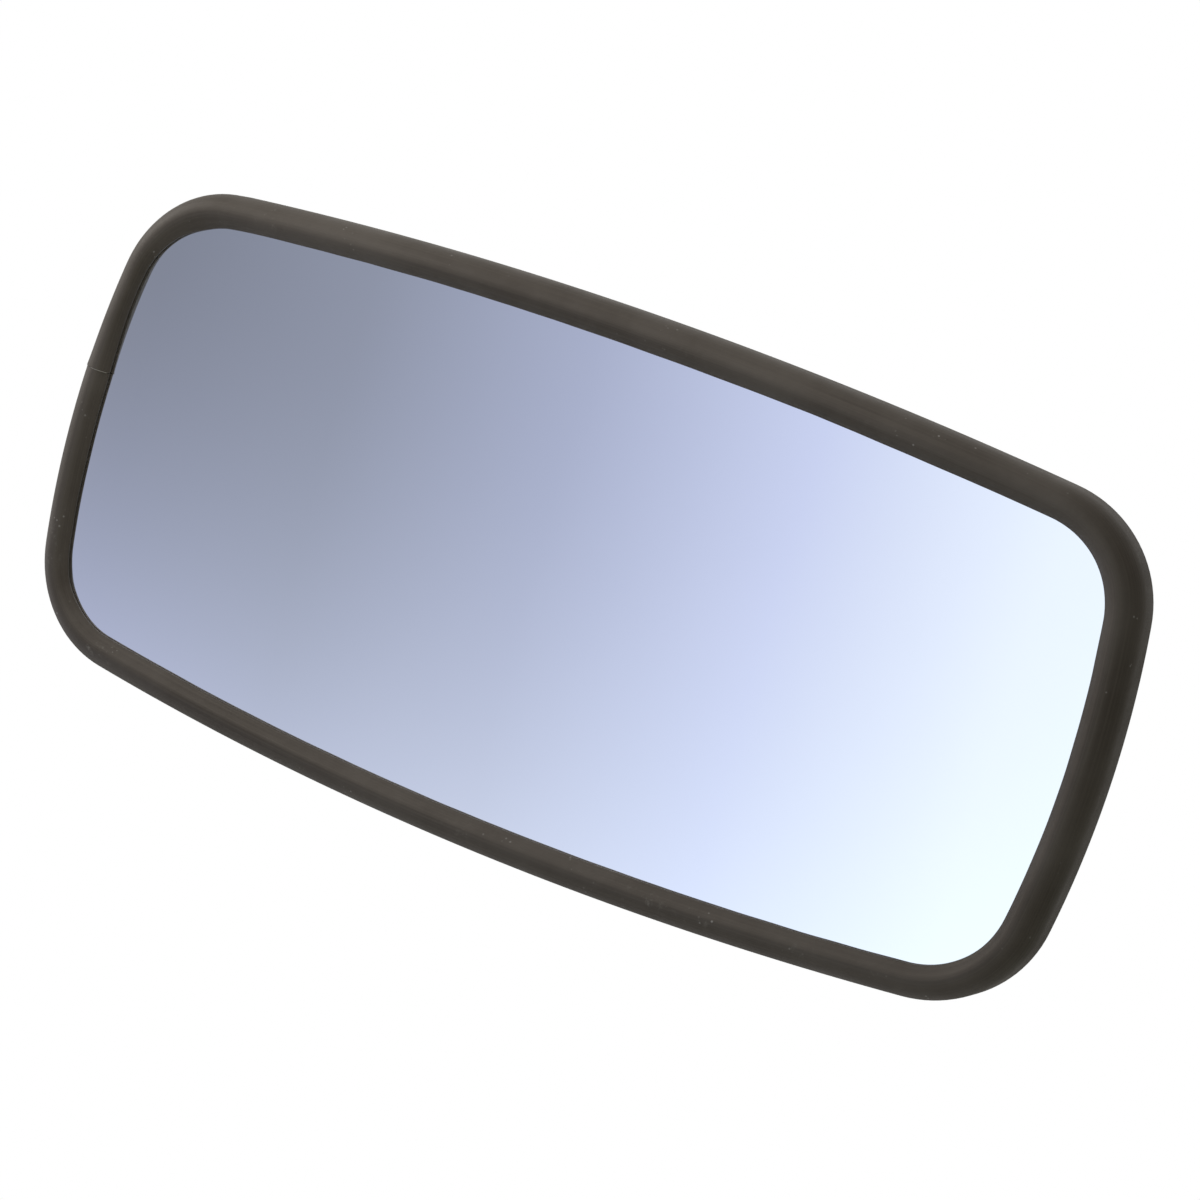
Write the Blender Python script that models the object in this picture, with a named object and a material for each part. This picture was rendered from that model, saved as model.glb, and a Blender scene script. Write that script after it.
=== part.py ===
"""Rectangular convex mirror on a two-axis wall bracket.

The origin is the centre of the wall plate's back face.  +Y points into the wall, +Z is up,
and the mirror faces -Y.  All lengths are in metres.
"""
import math

import bmesh
import bpy
from mathutils import Matrix, Vector

# Clearance left between pieces that touch on the real object.
GAP = 0.0003

# Mirror head: outline over the rubber.
HEAD_WIDTH = 0.406
HEAD_HEIGHT = 0.193
LONG_SIDE_RADIUS = 1.587
SHORT_SIDE_RADIUS = 0.357
CORNER_RADIUS = 0.0417

# Glass: a spherical cap.
GLASS_RADIUS = 1.5
GLASS_THICKNESS = 0.003
GLASS_INSET = 0.0056
GLASS_EDGE_ROUND = 0.0004

# Rubber edge strip, measured inward from the outline and backward from the glass face.
STRIP_WIDTH = 0.0118
CREST_INSET = 0.0066
CREST_HEIGHT = 0.0052
LIP_THICKNESS = 0.0011
SHOULDER_DEPTH = 0.0040
FLANK_DEPTH = 0.0118
REAR_LIP_WIDTH = 0.0095
REAR_LIP_THICKNESS = 0.0018
LEG_THICKNESS = 0.0022
LEG_DEPTH = 0.0036
BUTT_GAP = 0.0006

# Pressed back shell and what is behind the glass.
SHELL_INSET = 0.0015
SHELL_WALL = 0.001
SHELL_DEPTH = 0.042
SEAT_HALF_WIDTH = 0.054
SEAT_HALF_HEIGHT = 0.037
SHELL_END_ROUNDNESS = 0.55
SHELL_SIDE_ROUNDNESS = 0.30
FOAM_THICKNESS = 0.008
FOAM_INSET = 0.014
FOAM_EDGE_ROUND = 0.001
GLUE_LINE = 0.0009
STIFFENER_THICKNESS = 0.002
STIFFENER_HALF_WIDTH = 0.044
STIFFENER_HALF_HEIGHT = 0.030
STIFFENER_CORNER_RADIUS = 0.006

# Studs, washers and nuts that hold the yoke to the shell.
STUD_RADIUS = 0.0025
STUD_HEAD_RADIUS = 0.0045
STUD_HEAD_HEIGHT = 0.0015
STUD_HALF_SPACING_X = 0.011
STUD_HALF_SPACING_Z = 0.0215
STUD_WASHER_RADIUS = 0.005
STUD_WASHER_THICKNESS = 0.001
STUD_NUT_FLATS = 0.008
STUD_NUT_HEIGHT = 0.004
STUD_TIP = 0.0015

# Pivot bolts and what is on them.
BOLT_RADIUS = 0.004
BOLT_HEAD_FLATS = 0.013
BOLT_HEAD_HEIGHT = 0.0053
BOLT_TIP = 0.003
WASHER_RADIUS = 0.008
WASHER_THICKNESS = 0.0016
SPRING_WASHER_RADIUS = 0.0072
SPRING_WASHER_THICKNESS = 0.002
WING_HUB_RADIUS = 0.0075
WING_HUB_TOP_RADIUS = 0.0060
WING_HUB_HEIGHT = 0.0095
WING_HUB_COLLAR = 0.0028
WING_SPAN = 0.017
WING_RISE = 0.0165
WING_THICKNESS = 0.0034
WING_TIP_RADIUS = 0.005
WING_UNDERSIDE = 0.0018

# Arm and its plastic bushes.
ARM_REACH = 0.110
BARREL_RADIUS = 0.011
BARREL_LENGTH = 0.036
BUSH_WALL = 0.0019
BUSH_FLANGE = 0.0015
BUSH_LENGTH = 0.012
ARM_HALF_WIDTH = 0.0075
ARM_HALF_HEIGHT = 0.0090
ARM_EDGE_RADIUS = 0.004
ARM_WAIST = 0.18

# Yokes and wall plate.
HEAD_YOKE_THICKNESS = 0.0025
HEAD_YOKE_HALF_LENGTH = 0.029
HEAD_YOKE_STANDOFF = 0.020
WALL_YOKE_THICKNESS = 0.003
WALL_YOKE_HALF_LENGTH = 0.020
WALL_YOKE_STANDOFF = 0.0247
EAR_HALF_WIDTH = 0.0135
BEND_RADIUS = 0.002
PLATE_HALF_WIDTH = 0.045
PLATE_HALF_HEIGHT = 0.035
PLATE_THICKNESS = 0.003
PLATE_CORNER_RADIUS = 0.008
PLATE_HOLE_RADIUS = 0.0033
PLATE_HOLE_MARGIN = 0.010

# How far a cutting helper runs past what it cuts.
OVERRUN = 0.005

# Facets.
SIDE_STEPS = 4
CORNER_STEPS = 5
LONG_STEPS = 5
SHOULDER_STEPS = 5
SLOPE_STEPS = 4
SHELL_STEPS = 7
ROUND_STEPS = 20
STUD_STEPS = 16

# Worked out from the values above.
BUSH_BORE = BOLT_RADIUS + GAP
BUSH_RADIUS = BUSH_BORE + BUSH_WALL
ARM_BORE = BUSH_RADIUS + GAP
EAR_HALF_GAP = BARREL_LENGTH / 2 + GAP + BUSH_FLANGE + GAP
SEAT_BACK = SHELL_DEPTH + GAP
YOKE_BACK = SEAT_BACK + HEAD_YOKE_THICKNESS
APEX_TO_TILT_AXIS = YOKE_BACK + HEAD_YOKE_STANDOFF
WALL_YOKE_FRONT = PLATE_THICKNESS + GAP + WALL_YOKE_THICKNESS
PAN_AXIS_Y = -(WALL_YOKE_FRONT + WALL_YOKE_STANDOFF)

UP = Matrix.Identity(4)
ALONG_X = Matrix.Rotation(math.pi / 2, 4, "Y")
UPSIDE_DOWN = Matrix.Rotation(math.pi, 4, "X")
HEAD_TO_WALL = Matrix.Rotation(math.pi, 4, "Z")

# Colour, roughness and metallic value of each material.
FINISHES = {
    "mirror_silver": ((0.80, 0.84, 0.92), 0.03, 1.0),
    "edge_rubber": ((0.070, 0.062, 0.052), 0.55, 0.0),
    "shell_paint": ((0.82, 0.82, 0.80), 0.35, 0.0),
    "foam": ((0.16, 0.16, 0.17), 0.95, 0.0),
    "zinc_plate": ((0.62, 0.63, 0.66), 0.35, 1.0),
    "bracket_paint": ((0.78, 0.78, 0.76), 0.40, 0.0),
    "cast_arm": ((0.60, 0.61, 0.62), 0.45, 1.0),
    "bush_plastic": ((0.05, 0.05, 0.055), 0.45, 0.0),
}


def clear_scene():
    for old in list(bpy.data.objects):
        bpy.data.objects.remove(old, do_unlink=True)


def finish(slot):
    """The Principled material of one slot, made the first time it is asked for."""
    made = bpy.data.materials.get(slot)
    if made:
        return made
    colour, roughness, metallic = FINISHES[slot]
    made = bpy.data.materials.new(slot)
    made.use_nodes = True
    shader = made.node_tree.nodes["Principled BSDF"]
    shader.inputs["Base Color"].default_value = (*colour, 1.0)
    shader.inputs["Roughness"].default_value = roughness
    shader.inputs["Metallic"].default_value = metallic
    return made


def pivot(name, location, parent=None):
    """An empty on a joint's axis, which the pieces that turn about it hang from."""
    empty = bpy.data.objects.new(name, None)
    bpy.context.scene.collection.objects.link(empty)
    empty.location = location
    empty.parent = parent
    return empty


def add_object(name, bm, slot, parent=None, location=(0, 0, 0), turn=UP):
    """Turn a bmesh into a named object with faces pointing out and soft round sides."""
    bmesh.ops.transform(bm, matrix=turn, verts=bm.verts)
    bmesh.ops.recalc_face_normals(bm, faces=bm.faces)
    mesh = bpy.data.meshes.new(name)
    bm.to_mesh(mesh)
    bm.free()
    mesh.shade_smooth()
    mesh.set_sharp_from_angle(angle=math.radians(35))
    piece = bpy.data.objects.new(name, mesh)
    bpy.context.scene.collection.objects.link(piece)
    piece.location = location
    piece.parent = parent
    if slot:
        mesh.materials.append(finish(slot))
    return piece


def add_cutter(name, bm, parent=None, location=(0, 0, 0), turn=UP):
    """A helper solid for a Boolean, which isn't a piece itself."""
    cutter = add_object(name, bm, None, parent, location, turn)
    cutter.hide_render = True
    cutter.display_type = "WIRE"
    return cutter


def combine(piece, helper, operation):
    boolean = piece.modifiers.new(operation.lower(), "BOOLEAN")
    boolean.operation = operation
    boolean.object = helper
    boolean.solver = "EXACT"


def skin(bm, rings, closed=False, caps=(True, True)):
    """Join rings of equally many points with quads, and close the first and last rings."""
    loops = [[bm.verts.new(point) for point in ring] for ring in rings]
    pairs = list(zip(loops, loops[1:]))
    if closed:
        pairs.append((loops[-1], loops[0]))
    for near, far in pairs:
        for i in range(len(near)):
            j = (i + 1) % len(near)
            bm.faces.new((near[i], near[j], far[j], far[i]))
    if not closed:
        if caps[0]:
            bm.faces.new(loops[0])
        if caps[1]:
            bm.faces.new(loops[-1])
    return bm


def circle(radius, height, steps=ROUND_STEPS, centre=(0.0, 0.0)):
    """Points round a circle at one height on the Z axis."""
    turns = [2 * math.pi * i / steps for i in range(steps)]
    return [(centre[0] + radius * math.cos(t), centre[1] + radius * math.sin(t), height) for t in turns]


def hexagon(flats, height, steps=ROUND_STEPS):
    """Points round a hexagon of one width over its flats, as many as a circle has."""
    ring = []
    for i in range(steps):
        turn = 2 * math.pi * i / steps
        from_flat = (turn + math.pi / 6) % (math.pi / 3) - math.pi / 6
        radius = flats / 2 / math.cos(from_flat)
        ring.append((radius * math.cos(turn), radius * math.sin(turn), height))
    return ring


def sleeve(outer, inner, low, high):
    """A plain ring or washer about Z."""
    rings = [circle(outer, low), circle(outer, high), circle(inner, high), circle(inner, low)]
    return skin(bmesh.new(), rings, closed=True)


def pin(radius, low, high, centre=(0.0, 0.0)):
    """A plain round bar along Z."""
    return skin(bmesh.new(), [circle(radius, z, centre=centre) for z in (low, high)])


def prism(outline, low, high):
    """An outline of (x, y) points extruded along Z."""
    rings = [[(x, y, z) for x, y in outline] for z in (low, high)]
    return skin(bmesh.new(), rings)


def arc(centre, radius, start, end, steps):
    """Points along an arc, angles in degrees, both ends included."""
    turns = [math.radians(start + (end - start) * i / steps) for i in range(steps + 1)]
    return [(centre[0] + radius * math.cos(t), centre[1] + radius * math.sin(t)) for t in turns]


def rounded_rectangle(half_width, half_height, radius, steps=5):
    x = half_width - radius
    y = half_height - radius
    points = []
    for start, centre in ((0, (x, y)), (90, (-x, y)), (180, (-x, -y)), (270, (x, -y))):
        points += arc(centre, radius, start, start + 90, steps)
    return points


def bowed_outline(inset):
    """The head's outline at one inset, in the XZ plane, anticlockwise from the right-hand middle.

    Each side is an arc that bows outward, and a corner arc is tangent to both its neighbours.
    """
    long_radius = LONG_SIDE_RADIUS - inset
    side_radius = SHORT_SIDE_RADIUS - inset
    corner_radius = CORNER_RADIUS - inset
    long_centre = Vector((0.0, HEAD_HEIGHT / 2 - LONG_SIDE_RADIUS))
    side_centre = Vector((HEAD_WIDTH / 2 - SHORT_SIDE_RADIUS, 0.0))
    apart = side_centre - long_centre
    reach_long = LONG_SIDE_RADIUS - CORNER_RADIUS
    reach_side = SHORT_SIDE_RADIUS - CORNER_RADIUS
    span = apart.length
    along = (reach_long ** 2 - reach_side ** 2 + span ** 2) / (2 * span)
    across = math.sqrt(reach_long ** 2 - along ** 2)
    unit = apart / span
    corner = long_centre + along * unit + across * Vector((unit.y, -unit.x))
    side_end = math.degrees(math.atan2(corner.y, corner.x - side_centre.x))
    long_end = math.degrees(math.atan2(corner.y - long_centre.y, corner.x))
    quarter = arc(side_centre, side_radius, 0, side_end, SIDE_STEPS)
    quarter += arc(corner, corner_radius, side_end, long_end, CORNER_STEPS)[1:]
    quarter += arc(long_centre, long_radius, long_end, 90, LONG_STEPS)[1:]
    points = quarter[:-1]
    points += [(-x, z) for x, z in reversed(quarter[1:])]
    points += [(-x, -z) for x, z in quarter[:-1]]
    points += [(x, -z) for x, z in reversed(quarter[1:])]
    return points


def sag(x, z):
    """How far the glass face has fallen back from its middle at one place."""
    return GLASS_RADIUS - math.sqrt(GLASS_RADIUS ** 2 - x * x - z * z)


def dished_ring(points, shrink, depth):
    """A scaled outline that lies a set depth behind the glass face."""
    return [(x * shrink, sag(x * shrink, z * shrink) + depth, z * shrink) for x, z in points]


def dished_sheet(inset, front, back, edge_round):
    """A sheet parallel to the glass face, with its edge slightly rounded.

    The glass and the foam share their inner rings, so their facets stay parallel.
    """
    shared = bowed_outline(FOAM_INSET + FOAM_EDGE_ROUND)
    outline = bowed_outline(inset)
    rounded = bowed_outline(inset + edge_round)
    front_rings = [dished_ring(shared, shrink, front) for shrink in (0.10, 0.40, 0.70)]
    back_rings = [dished_ring(shared, shrink, back) for shrink in (0.70, 0.40, 0.10)]
    if inset + edge_round < FOAM_INSET + FOAM_EDGE_ROUND:
        front_rings.append(dished_ring(shared, 1.0, front))
        back_rings.insert(0, dished_ring(shared, 1.0, back))
    edge_rings = [
        dished_ring(rounded, 1.0, front),
        dished_ring(outline, 1.0, front + edge_round),
        dished_ring(outline, 1.0, back - edge_round),
        dished_ring(rounded, 1.0, back),
    ]
    return skin(bmesh.new(), front_rings + edge_rings + back_rings)


def strip_section():
    """The rubber strip's section, as (inset, depth) points round one closed outline."""
    shoulder = []
    rise = CREST_HEIGHT + SHOULDER_DEPTH
    for i in range(SHOULDER_STEPS + 1):
        turn = math.pi / 2 * i / SHOULDER_STEPS
        inset = CREST_INSET * (1 - math.cos(turn))
        shoulder.append((inset, SHOULDER_DEPTH - rise * math.sin(turn)))
    slope = []
    fall = CREST_HEIGHT - GAP - LIP_THICKNESS
    for i in range(1, SLOPE_STEPS + 1):
        turn = math.pi / 2 * i / SLOPE_STEPS
        inset = CREST_INSET + (STRIP_WIDTH - CREST_INSET) * i / SLOPE_STEPS
        slope.append((inset, -CREST_HEIGHT + fall * (1 - math.cos(turn))))
    floor = GLASS_INSET - GAP
    rear = GLASS_THICKNESS + GAP
    leg_outer = SHELL_INSET + SHELL_WALL + GAP
    leg_inner = leg_outer + LEG_THICKNESS
    channel = [
        (STRIP_WIDTH, -GAP),
        (floor, -GAP),
        (floor, rear),
        (REAR_LIP_WIDTH, rear),
        (REAR_LIP_WIDTH, rear + REAR_LIP_THICKNESS),
    ]
    leg = [
        (leg_inner, FLANK_DEPTH + GAP),
        (leg_inner, FLANK_DEPTH + LEG_DEPTH),
        (leg_outer, FLANK_DEPTH + LEG_DEPTH),
        (leg_outer, FLANK_DEPTH),
        (0.0, FLANK_DEPTH),
    ]
    return shoulder + slope + channel + leg


def edge_strip():
    """The strip swept round the head from a butt joint on its left side, just above the middle."""
    section = strip_section()
    lines = [bowed_outline(inset) for inset, depth in section]
    count = len(lines[0])
    start = count // 2 - 1
    order = [(start - i) % count for i in range(count)]
    rings = []
    for station in order + [start]:
        ring = []
        for line, (inset, depth) in zip(lines, section):
            x, z = line[station]
            ring.append(Vector((x, sag(x, z) + depth, z)))
        rings.append(ring)
    for ring, beside in ((rings[0], rings[1]), (rings[-1], rings[-2])):
        for point, neighbour in zip(ring, beside):
            point += (neighbour - point).normalized() * BUTT_GAP / 2
    return skin(bmesh.new(), rings)


def shell_skin():
    """The shell's outer face: a straight mouth, long shoulders and a flat seat."""
    mouth = bowed_outline(SHELL_INSET)
    half_width = HEAD_WIDTH / 2 - SHELL_INSET
    half_height = HEAD_HEIGHT / 2 - SHELL_INSET
    wall_end = FLANK_DEPTH + LEG_DEPTH + GAP
    rings = [dished_ring(mouth, 1.0, FLANK_DEPTH + GAP), dished_ring(mouth, 1.0, wall_end)]
    for i in range(1, SHELL_STEPS + 1):
        turn = math.pi / 2 * i / SHELL_STEPS
        keep_width = abs(math.cos(turn)) ** SHELL_END_ROUNDNESS
        keep_height = abs(math.cos(turn)) ** SHELL_SIDE_ROUNDNESS
        wide = (SEAT_HALF_WIDTH + (half_width - SEAT_HALF_WIDTH) * keep_width) / half_width
        tall = (SEAT_HALF_HEIGHT + (half_height - SEAT_HALF_HEIGHT) * keep_height) / half_height
        flat = math.sin(turn)
        ring = []
        for x, z in mouth:
            curved = sag(x, z) + wall_end
            ring.append((x * wide, curved + (SHELL_DEPTH - curved) * flat, z * tall))
        rings.append(ring)
    return skin(bmesh.new(), rings, caps=(False, True))


def stud_places():
    """The (x, z) places of the four studs, from the upper left."""
    return [(sx * STUD_HALF_SPACING_X, sz * STUD_HALF_SPACING_Z) for sz in (1, -1) for sx in (-1, 1)]


def stud_cutter(head, offset):
    """Four pins through stiffener, shell and yoke, joined in one helper."""
    bm = bmesh.new()
    low = SHELL_DEPTH - SHELL_WALL - GAP - STIFFENER_THICKNESS - OVERRUN
    high = YOKE_BACK + OVERRUN
    for x, z in stud_places():
        ring = circle(STUD_RADIUS + GAP, 0, STUD_STEPS)
        skin(bm, [[(x + px, y, z + pz) for px, pz, _ in ring] for y in (low, high)])
    return add_cutter("stud_cutter", bm, head, offset)


def bolt_mesh(flats, head_height, radius, reach, steps=ROUND_STEPS):
    """A hexagon bolt along Z: its head lies below zero and its shank runs up to the reach."""
    chamfer = radius * 0.2
    rings = [
        hexagon(flats, -head_height, steps),
        hexagon(flats, 0, steps),
        circle(radius, 0, steps),
        circle(radius, reach - chamfer, steps),
        circle(radius - chamfer, reach, steps),
    ]
    return skin(bmesh.new(), rings)


def nut_mesh(flats, bore, height, steps=ROUND_STEPS):
    rings = [hexagon(flats, 0, steps), hexagon(flats, height, steps)]
    rings += [circle(bore, height, steps), circle(bore, 0, steps)]
    return skin(bmesh.new(), rings, closed=True)


def spring_washer_mesh(outer, inner, thickness):
    """A split ring of nearly one turn about Z."""
    rings = []
    steps = 22
    for i in range(steps + 1):
        turn = math.radians(5 + 350 * i / steps)
        ends = ((outer, 0), (outer, thickness), (inner, thickness), (inner, 0))
        rings.append([(r * math.cos(turn), r * math.sin(turn), z) for r, z in ends])
    return skin(bmesh.new(), rings)


def flanged_bush_mesh():
    """A bush along Z: its flange lies below zero and its sleeve runs up inside the barrel."""
    rings = [
        circle(BARREL_RADIUS, -BUSH_FLANGE),
        circle(BARREL_RADIUS, 0),
        circle(BUSH_RADIUS, 0),
        circle(BUSH_RADIUS, BUSH_LENGTH),
        circle(BUSH_BORE, BUSH_LENGTH),
        circle(BUSH_BORE, -BUSH_FLANGE),
    ]
    return skin(bmesh.new(), rings, closed=True)


def wing_outline():
    """One wing, as (x, height) points from inside the hub to its round tip and back."""
    tip_centre = (WING_SPAN - WING_TIP_RADIUS, WING_RISE - WING_TIP_RADIUS)
    root = BOLT_RADIUS / 2
    shoulder = WING_HUB_HEIGHT - WING_UNDERSIDE
    outline = [(root, WING_UNDERSIDE), (WING_HUB_RADIUS, WING_UNDERSIDE)]
    outline += arc(tip_centre, WING_TIP_RADIUS, -40, 140, 7)
    outline += [(WING_HUB_TOP_RADIUS, shoulder), (root, shoulder)]
    return outline


def wing_nut(name, parent, location, turn):
    """A round hub with two raised wings, bored through, seated at zero on Z."""
    hub = skin(bmesh.new(), [
        circle(WING_HUB_RADIUS, 0),
        circle(WING_HUB_RADIUS, WING_HUB_COLLAR),
        circle(WING_HUB_TOP_RADIUS, WING_HUB_HEIGHT),
    ])
    nut = add_object(name, hub, "zinc_plate", parent, location, turn)
    upright = Matrix.Rotation(math.pi / 2, 4, "X")
    for side, spin in (("right", 0), ("left", math.pi)):
        wing = prism(wing_outline(), -WING_THICKNESS / 2, WING_THICKNESS / 2)
        bmesh.ops.transform(wing, matrix=Matrix.Rotation(spin, 4, "Z") @ upright, verts=wing.verts)
        combine(nut, add_cutter(name + "_wing_" + side, wing, parent, location, turn), "UNION")
    bore = pin(BOLT_RADIUS + GAP, -OVERRUN, WING_HUB_HEIGHT + OVERRUN)
    combine(nut, add_cutter(name + "_bore", bore, parent, location, turn), "DIFFERENCE")
    return nut


def yoke_section(thickness, far):
    """A U in the YZ plane, open towards +Y, with bends of even thickness: (y, z) points."""
    inner = EAR_HALF_GAP
    centre = (thickness + BEND_RADIUS, inner - BEND_RADIUS)
    inside = [(far, inner)] + arc(centre, BEND_RADIUS, 90, 180, 3)
    inside += [(y, -z) for y, z in reversed(inside)]
    below = (centre[0], -centre[1])
    outside = [(far, -inner - thickness)] + arc(below, BEND_RADIUS + thickness, 270, 180, 4)
    outside += [(y, -z) for y, z in reversed(outside)]
    return inside + outside


def yoke_trim(half_length, axis_y, start, far):
    """What is cut away beside the ears: (x, y) points of a frame open at the base."""
    ear = [(-EAR_HALF_WIDTH, start)] + arc((0, axis_y), EAR_HALF_WIDTH, 180, 0, 12)
    ear.append((EAR_HALF_WIDTH, start))
    side = half_length + OVERRUN
    end = far + OVERRUN
    return ear + [(side, start), (side, end), (-side, end), (-side, start)]


def yoke(name, slot, thickness, half_length, standoff, parent, location, turn):
    """A U-shaped pressing.  Its base lies on y = 0, its two ears point along +Y, one at each end
    of the Z axis, and each ear has a round end with a hole for the pivot bolt."""
    axis_y = thickness + standoff
    far = axis_y + EAR_HALF_WIDTH + OVERRUN
    reach = EAR_HALF_GAP + thickness + OVERRUN
    section = yoke_section(thickness, far)
    bm = skin(bmesh.new(), [[(x, y, z) for y, z in section] for x in (-half_length, half_length)])
    piece = add_object(name, bm, slot, parent, location, turn)
    trim = prism(yoke_trim(half_length, axis_y, thickness + BEND_RADIUS, far), -reach, reach)
    combine(piece, add_cutter(name + "_trim", trim, parent, location, turn), "DIFFERENCE")
    hole = pin(BOLT_RADIUS + GAP, -reach, reach, (0, axis_y))
    combine(piece, add_cutter(name + "_pivot_hole", hole, parent, location, turn), "DIFFERENCE")
    return piece


def pivot_set(prefix, ear, parent, place, turn):
    """The bolt, washers and wing nut on one pivot axis, along +Z before the turn."""
    seat = EAR_HALF_GAP + ear + GAP
    split_seat = seat + WASHER_THICKNESS + GAP
    nut_seat = split_seat + SPRING_WASHER_THICKNESS + GAP
    length = seat + nut_seat + WING_HUB_HEIGHT + BOLT_TIP
    bolt = bolt_mesh(BOLT_HEAD_FLATS, BOLT_HEAD_HEIGHT, BOLT_RADIUS, length)
    bmesh.ops.translate(bolt, vec=(0, 0, -seat), verts=bolt.verts)
    add_object(prefix + "_bolt", bolt, "zinc_plate", parent, place, turn)
    inner = BOLT_RADIUS + GAP
    washer = sleeve(WASHER_RADIUS, inner, seat, seat + WASHER_THICKNESS)
    add_object(prefix + "_washer", washer, "zinc_plate", parent, place, turn)
    split = spring_washer_mesh(SPRING_WASHER_RADIUS, inner, SPRING_WASHER_THICKNESS)
    bmesh.ops.translate(split, vec=(0, 0, split_seat), verts=split.verts)
    add_object(prefix + "_spring_washer", split, "zinc_plate", parent, place, turn)
    lift = Matrix.Translation((0, 0, nut_seat))
    wing_nut(prefix + "_wing_nut", parent, place, turn @ lift)


def build_head(tilt):
    """Everything that tilts with the mirror.  Local y is the depth behind the glass's middle."""
    offset = (0, -APEX_TO_TILT_AXIS, 0)
    glass = dished_sheet(GLASS_INSET, 0.0, GLASS_THICKNESS, GLASS_EDGE_ROUND)
    add_object("mirror_glass", glass, "mirror_silver", tilt, offset)
    add_object("edge_gasket", edge_strip(), "edge_rubber", tilt, offset)
    foam_front = GLASS_THICKNESS + GLUE_LINE
    foam = dished_sheet(FOAM_INSET, foam_front, foam_front + FOAM_THICKNESS, FOAM_EDGE_ROUND)
    add_object("backing_foam", foam, "foam", tilt, offset)
    holes = stud_cutter(tilt, offset)
    shell = add_object("back_shell", shell_skin(), "shell_paint", tilt, offset)
    wall = shell.modifiers.new("wall", "SOLIDIFY")
    wall.thickness = SHELL_WALL
    wall.offset = -1.0
    wall.use_even_offset = True
    combine(shell, holes, "DIFFERENCE")
    build_yoke_fixing(tilt, offset, holes)
    yoke_offset = (0, SEAT_BACK - APEX_TO_TILT_AXIS, 0)
    head_yoke = yoke("head_yoke", "bracket_paint", HEAD_YOKE_THICKNESS, HEAD_YOKE_HALF_LENGTH,
                     HEAD_YOKE_STANDOFF, tilt, yoke_offset, ALONG_X)
    combine(head_yoke, holes, "DIFFERENCE")


def build_yoke_fixing(tilt, offset, holes):
    """The stiffener inside the shell, and the four studs with their washers and nuts."""
    back = SHELL_DEPTH - SHELL_WALL - GAP
    front = back - STIFFENER_THICKNESS
    outline = rounded_rectangle(STIFFENER_HALF_WIDTH, STIFFENER_HALF_HEIGHT, STIFFENER_CORNER_RADIUS)
    plate = skin(bmesh.new(), [[(x, y, z) for x, z in outline] for y in (front, back)])
    stiffener = add_object("stiffener_plate", plate, "zinc_plate", tilt, offset)
    combine(stiffener, holes, "DIFFERENCE")
    along_y = Matrix.Rotation(-math.pi / 2, 4, "X")
    washer_seat = YOKE_BACK + GAP
    nut_seat = washer_seat + STUD_WASHER_THICKNESS + GAP
    reach = nut_seat + STUD_NUT_HEIGHT + STUD_TIP
    head_back = front - GAP
    for number, (x, z) in enumerate(stud_places(), 1):
        shift = Vector(offset) + Vector((x, 0, z))
        rings = [
            circle(STUD_HEAD_RADIUS, head_back - STUD_HEAD_HEIGHT, STUD_STEPS),
            circle(STUD_HEAD_RADIUS, head_back, STUD_STEPS),
            circle(STUD_RADIUS, head_back, STUD_STEPS),
            circle(STUD_RADIUS, reach, STUD_STEPS),
        ]
        stud = skin(bmesh.new(), rings)
        add_object(f"yoke_stud_{number}", stud, "zinc_plate", tilt, shift, along_y)
        inner = STUD_RADIUS + GAP
        washer = sleeve(STUD_WASHER_RADIUS, inner, washer_seat, washer_seat + STUD_WASHER_THICKNESS)
        add_object(f"stud_washer_{number}", washer, "zinc_plate", tilt, shift, along_y)
        nut = nut_mesh(STUD_NUT_FLATS, inner, STUD_NUT_HEIGHT)
        bmesh.ops.translate(nut, vec=(0, 0, nut_seat), verts=nut.verts)
        add_object(f"stud_nut_{number}", nut, "zinc_plate", tilt, shift, along_y)


def arm_beam():
    """The beam between the barrels, slimmer in the middle, with its ends inside the barrels."""
    rings = []
    steps = 6
    root = BARREL_RADIUS - BUSH_WALL * 4
    for i in range(steps + 1):
        share = i / steps
        waist = 1 - ARM_WAIST * math.sin(math.pi * share)
        section = rounded_rectangle(ARM_HALF_WIDTH * waist, ARM_HALF_HEIGHT * waist, ARM_EDGE_RADIUS, 3)
        y = -root - (ARM_REACH - 2 * root) * share
        rings.append([(x, y, z) for x, z in section])
    return skin(bmesh.new(), rings)


def build_arm(pan):
    """The cast arm: an upright barrel on the pan axis, a level one on the tilt axis, a beam between."""
    half = BARREL_LENGTH / 2
    front_end = (0, -ARM_REACH, 0)
    arm = add_object("swivel_arm", pin(BARREL_RADIUS, -half, half), "cast_arm", pan)
    front = add_cutter("front_barrel", pin(BARREL_RADIUS, -half, half), pan, front_end, ALONG_X)
    combine(arm, front, "UNION")
    combine(arm, add_cutter("arm_beam", arm_beam(), pan), "UNION")
    for name, place, turn in (("pan_bore", (0, 0, 0), UP), ("tilt_bore", front_end, ALONG_X)):
        bore = pin(ARM_BORE, -half - OVERRUN, half + OVERRUN)
        combine(arm, add_cutter(name, bore, pan, place, turn), "DIFFERENCE")
    seat = Matrix.Translation((0, 0, -half - GAP))
    add_object("pan_bush_lower", flanged_bush_mesh(), "bush_plastic", pan, turn=seat)
    add_object("pan_bush_upper", flanged_bush_mesh(), "bush_plastic", pan, turn=UPSIDE_DOWN @ seat)
    left = ALONG_X @ seat
    right = ALONG_X @ UPSIDE_DOWN @ seat
    add_object("tilt_bush_left", flanged_bush_mesh(), "bush_plastic", pan, front_end, left)
    add_object("tilt_bush_right", flanged_bush_mesh(), "bush_plastic", pan, front_end, right)


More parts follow.
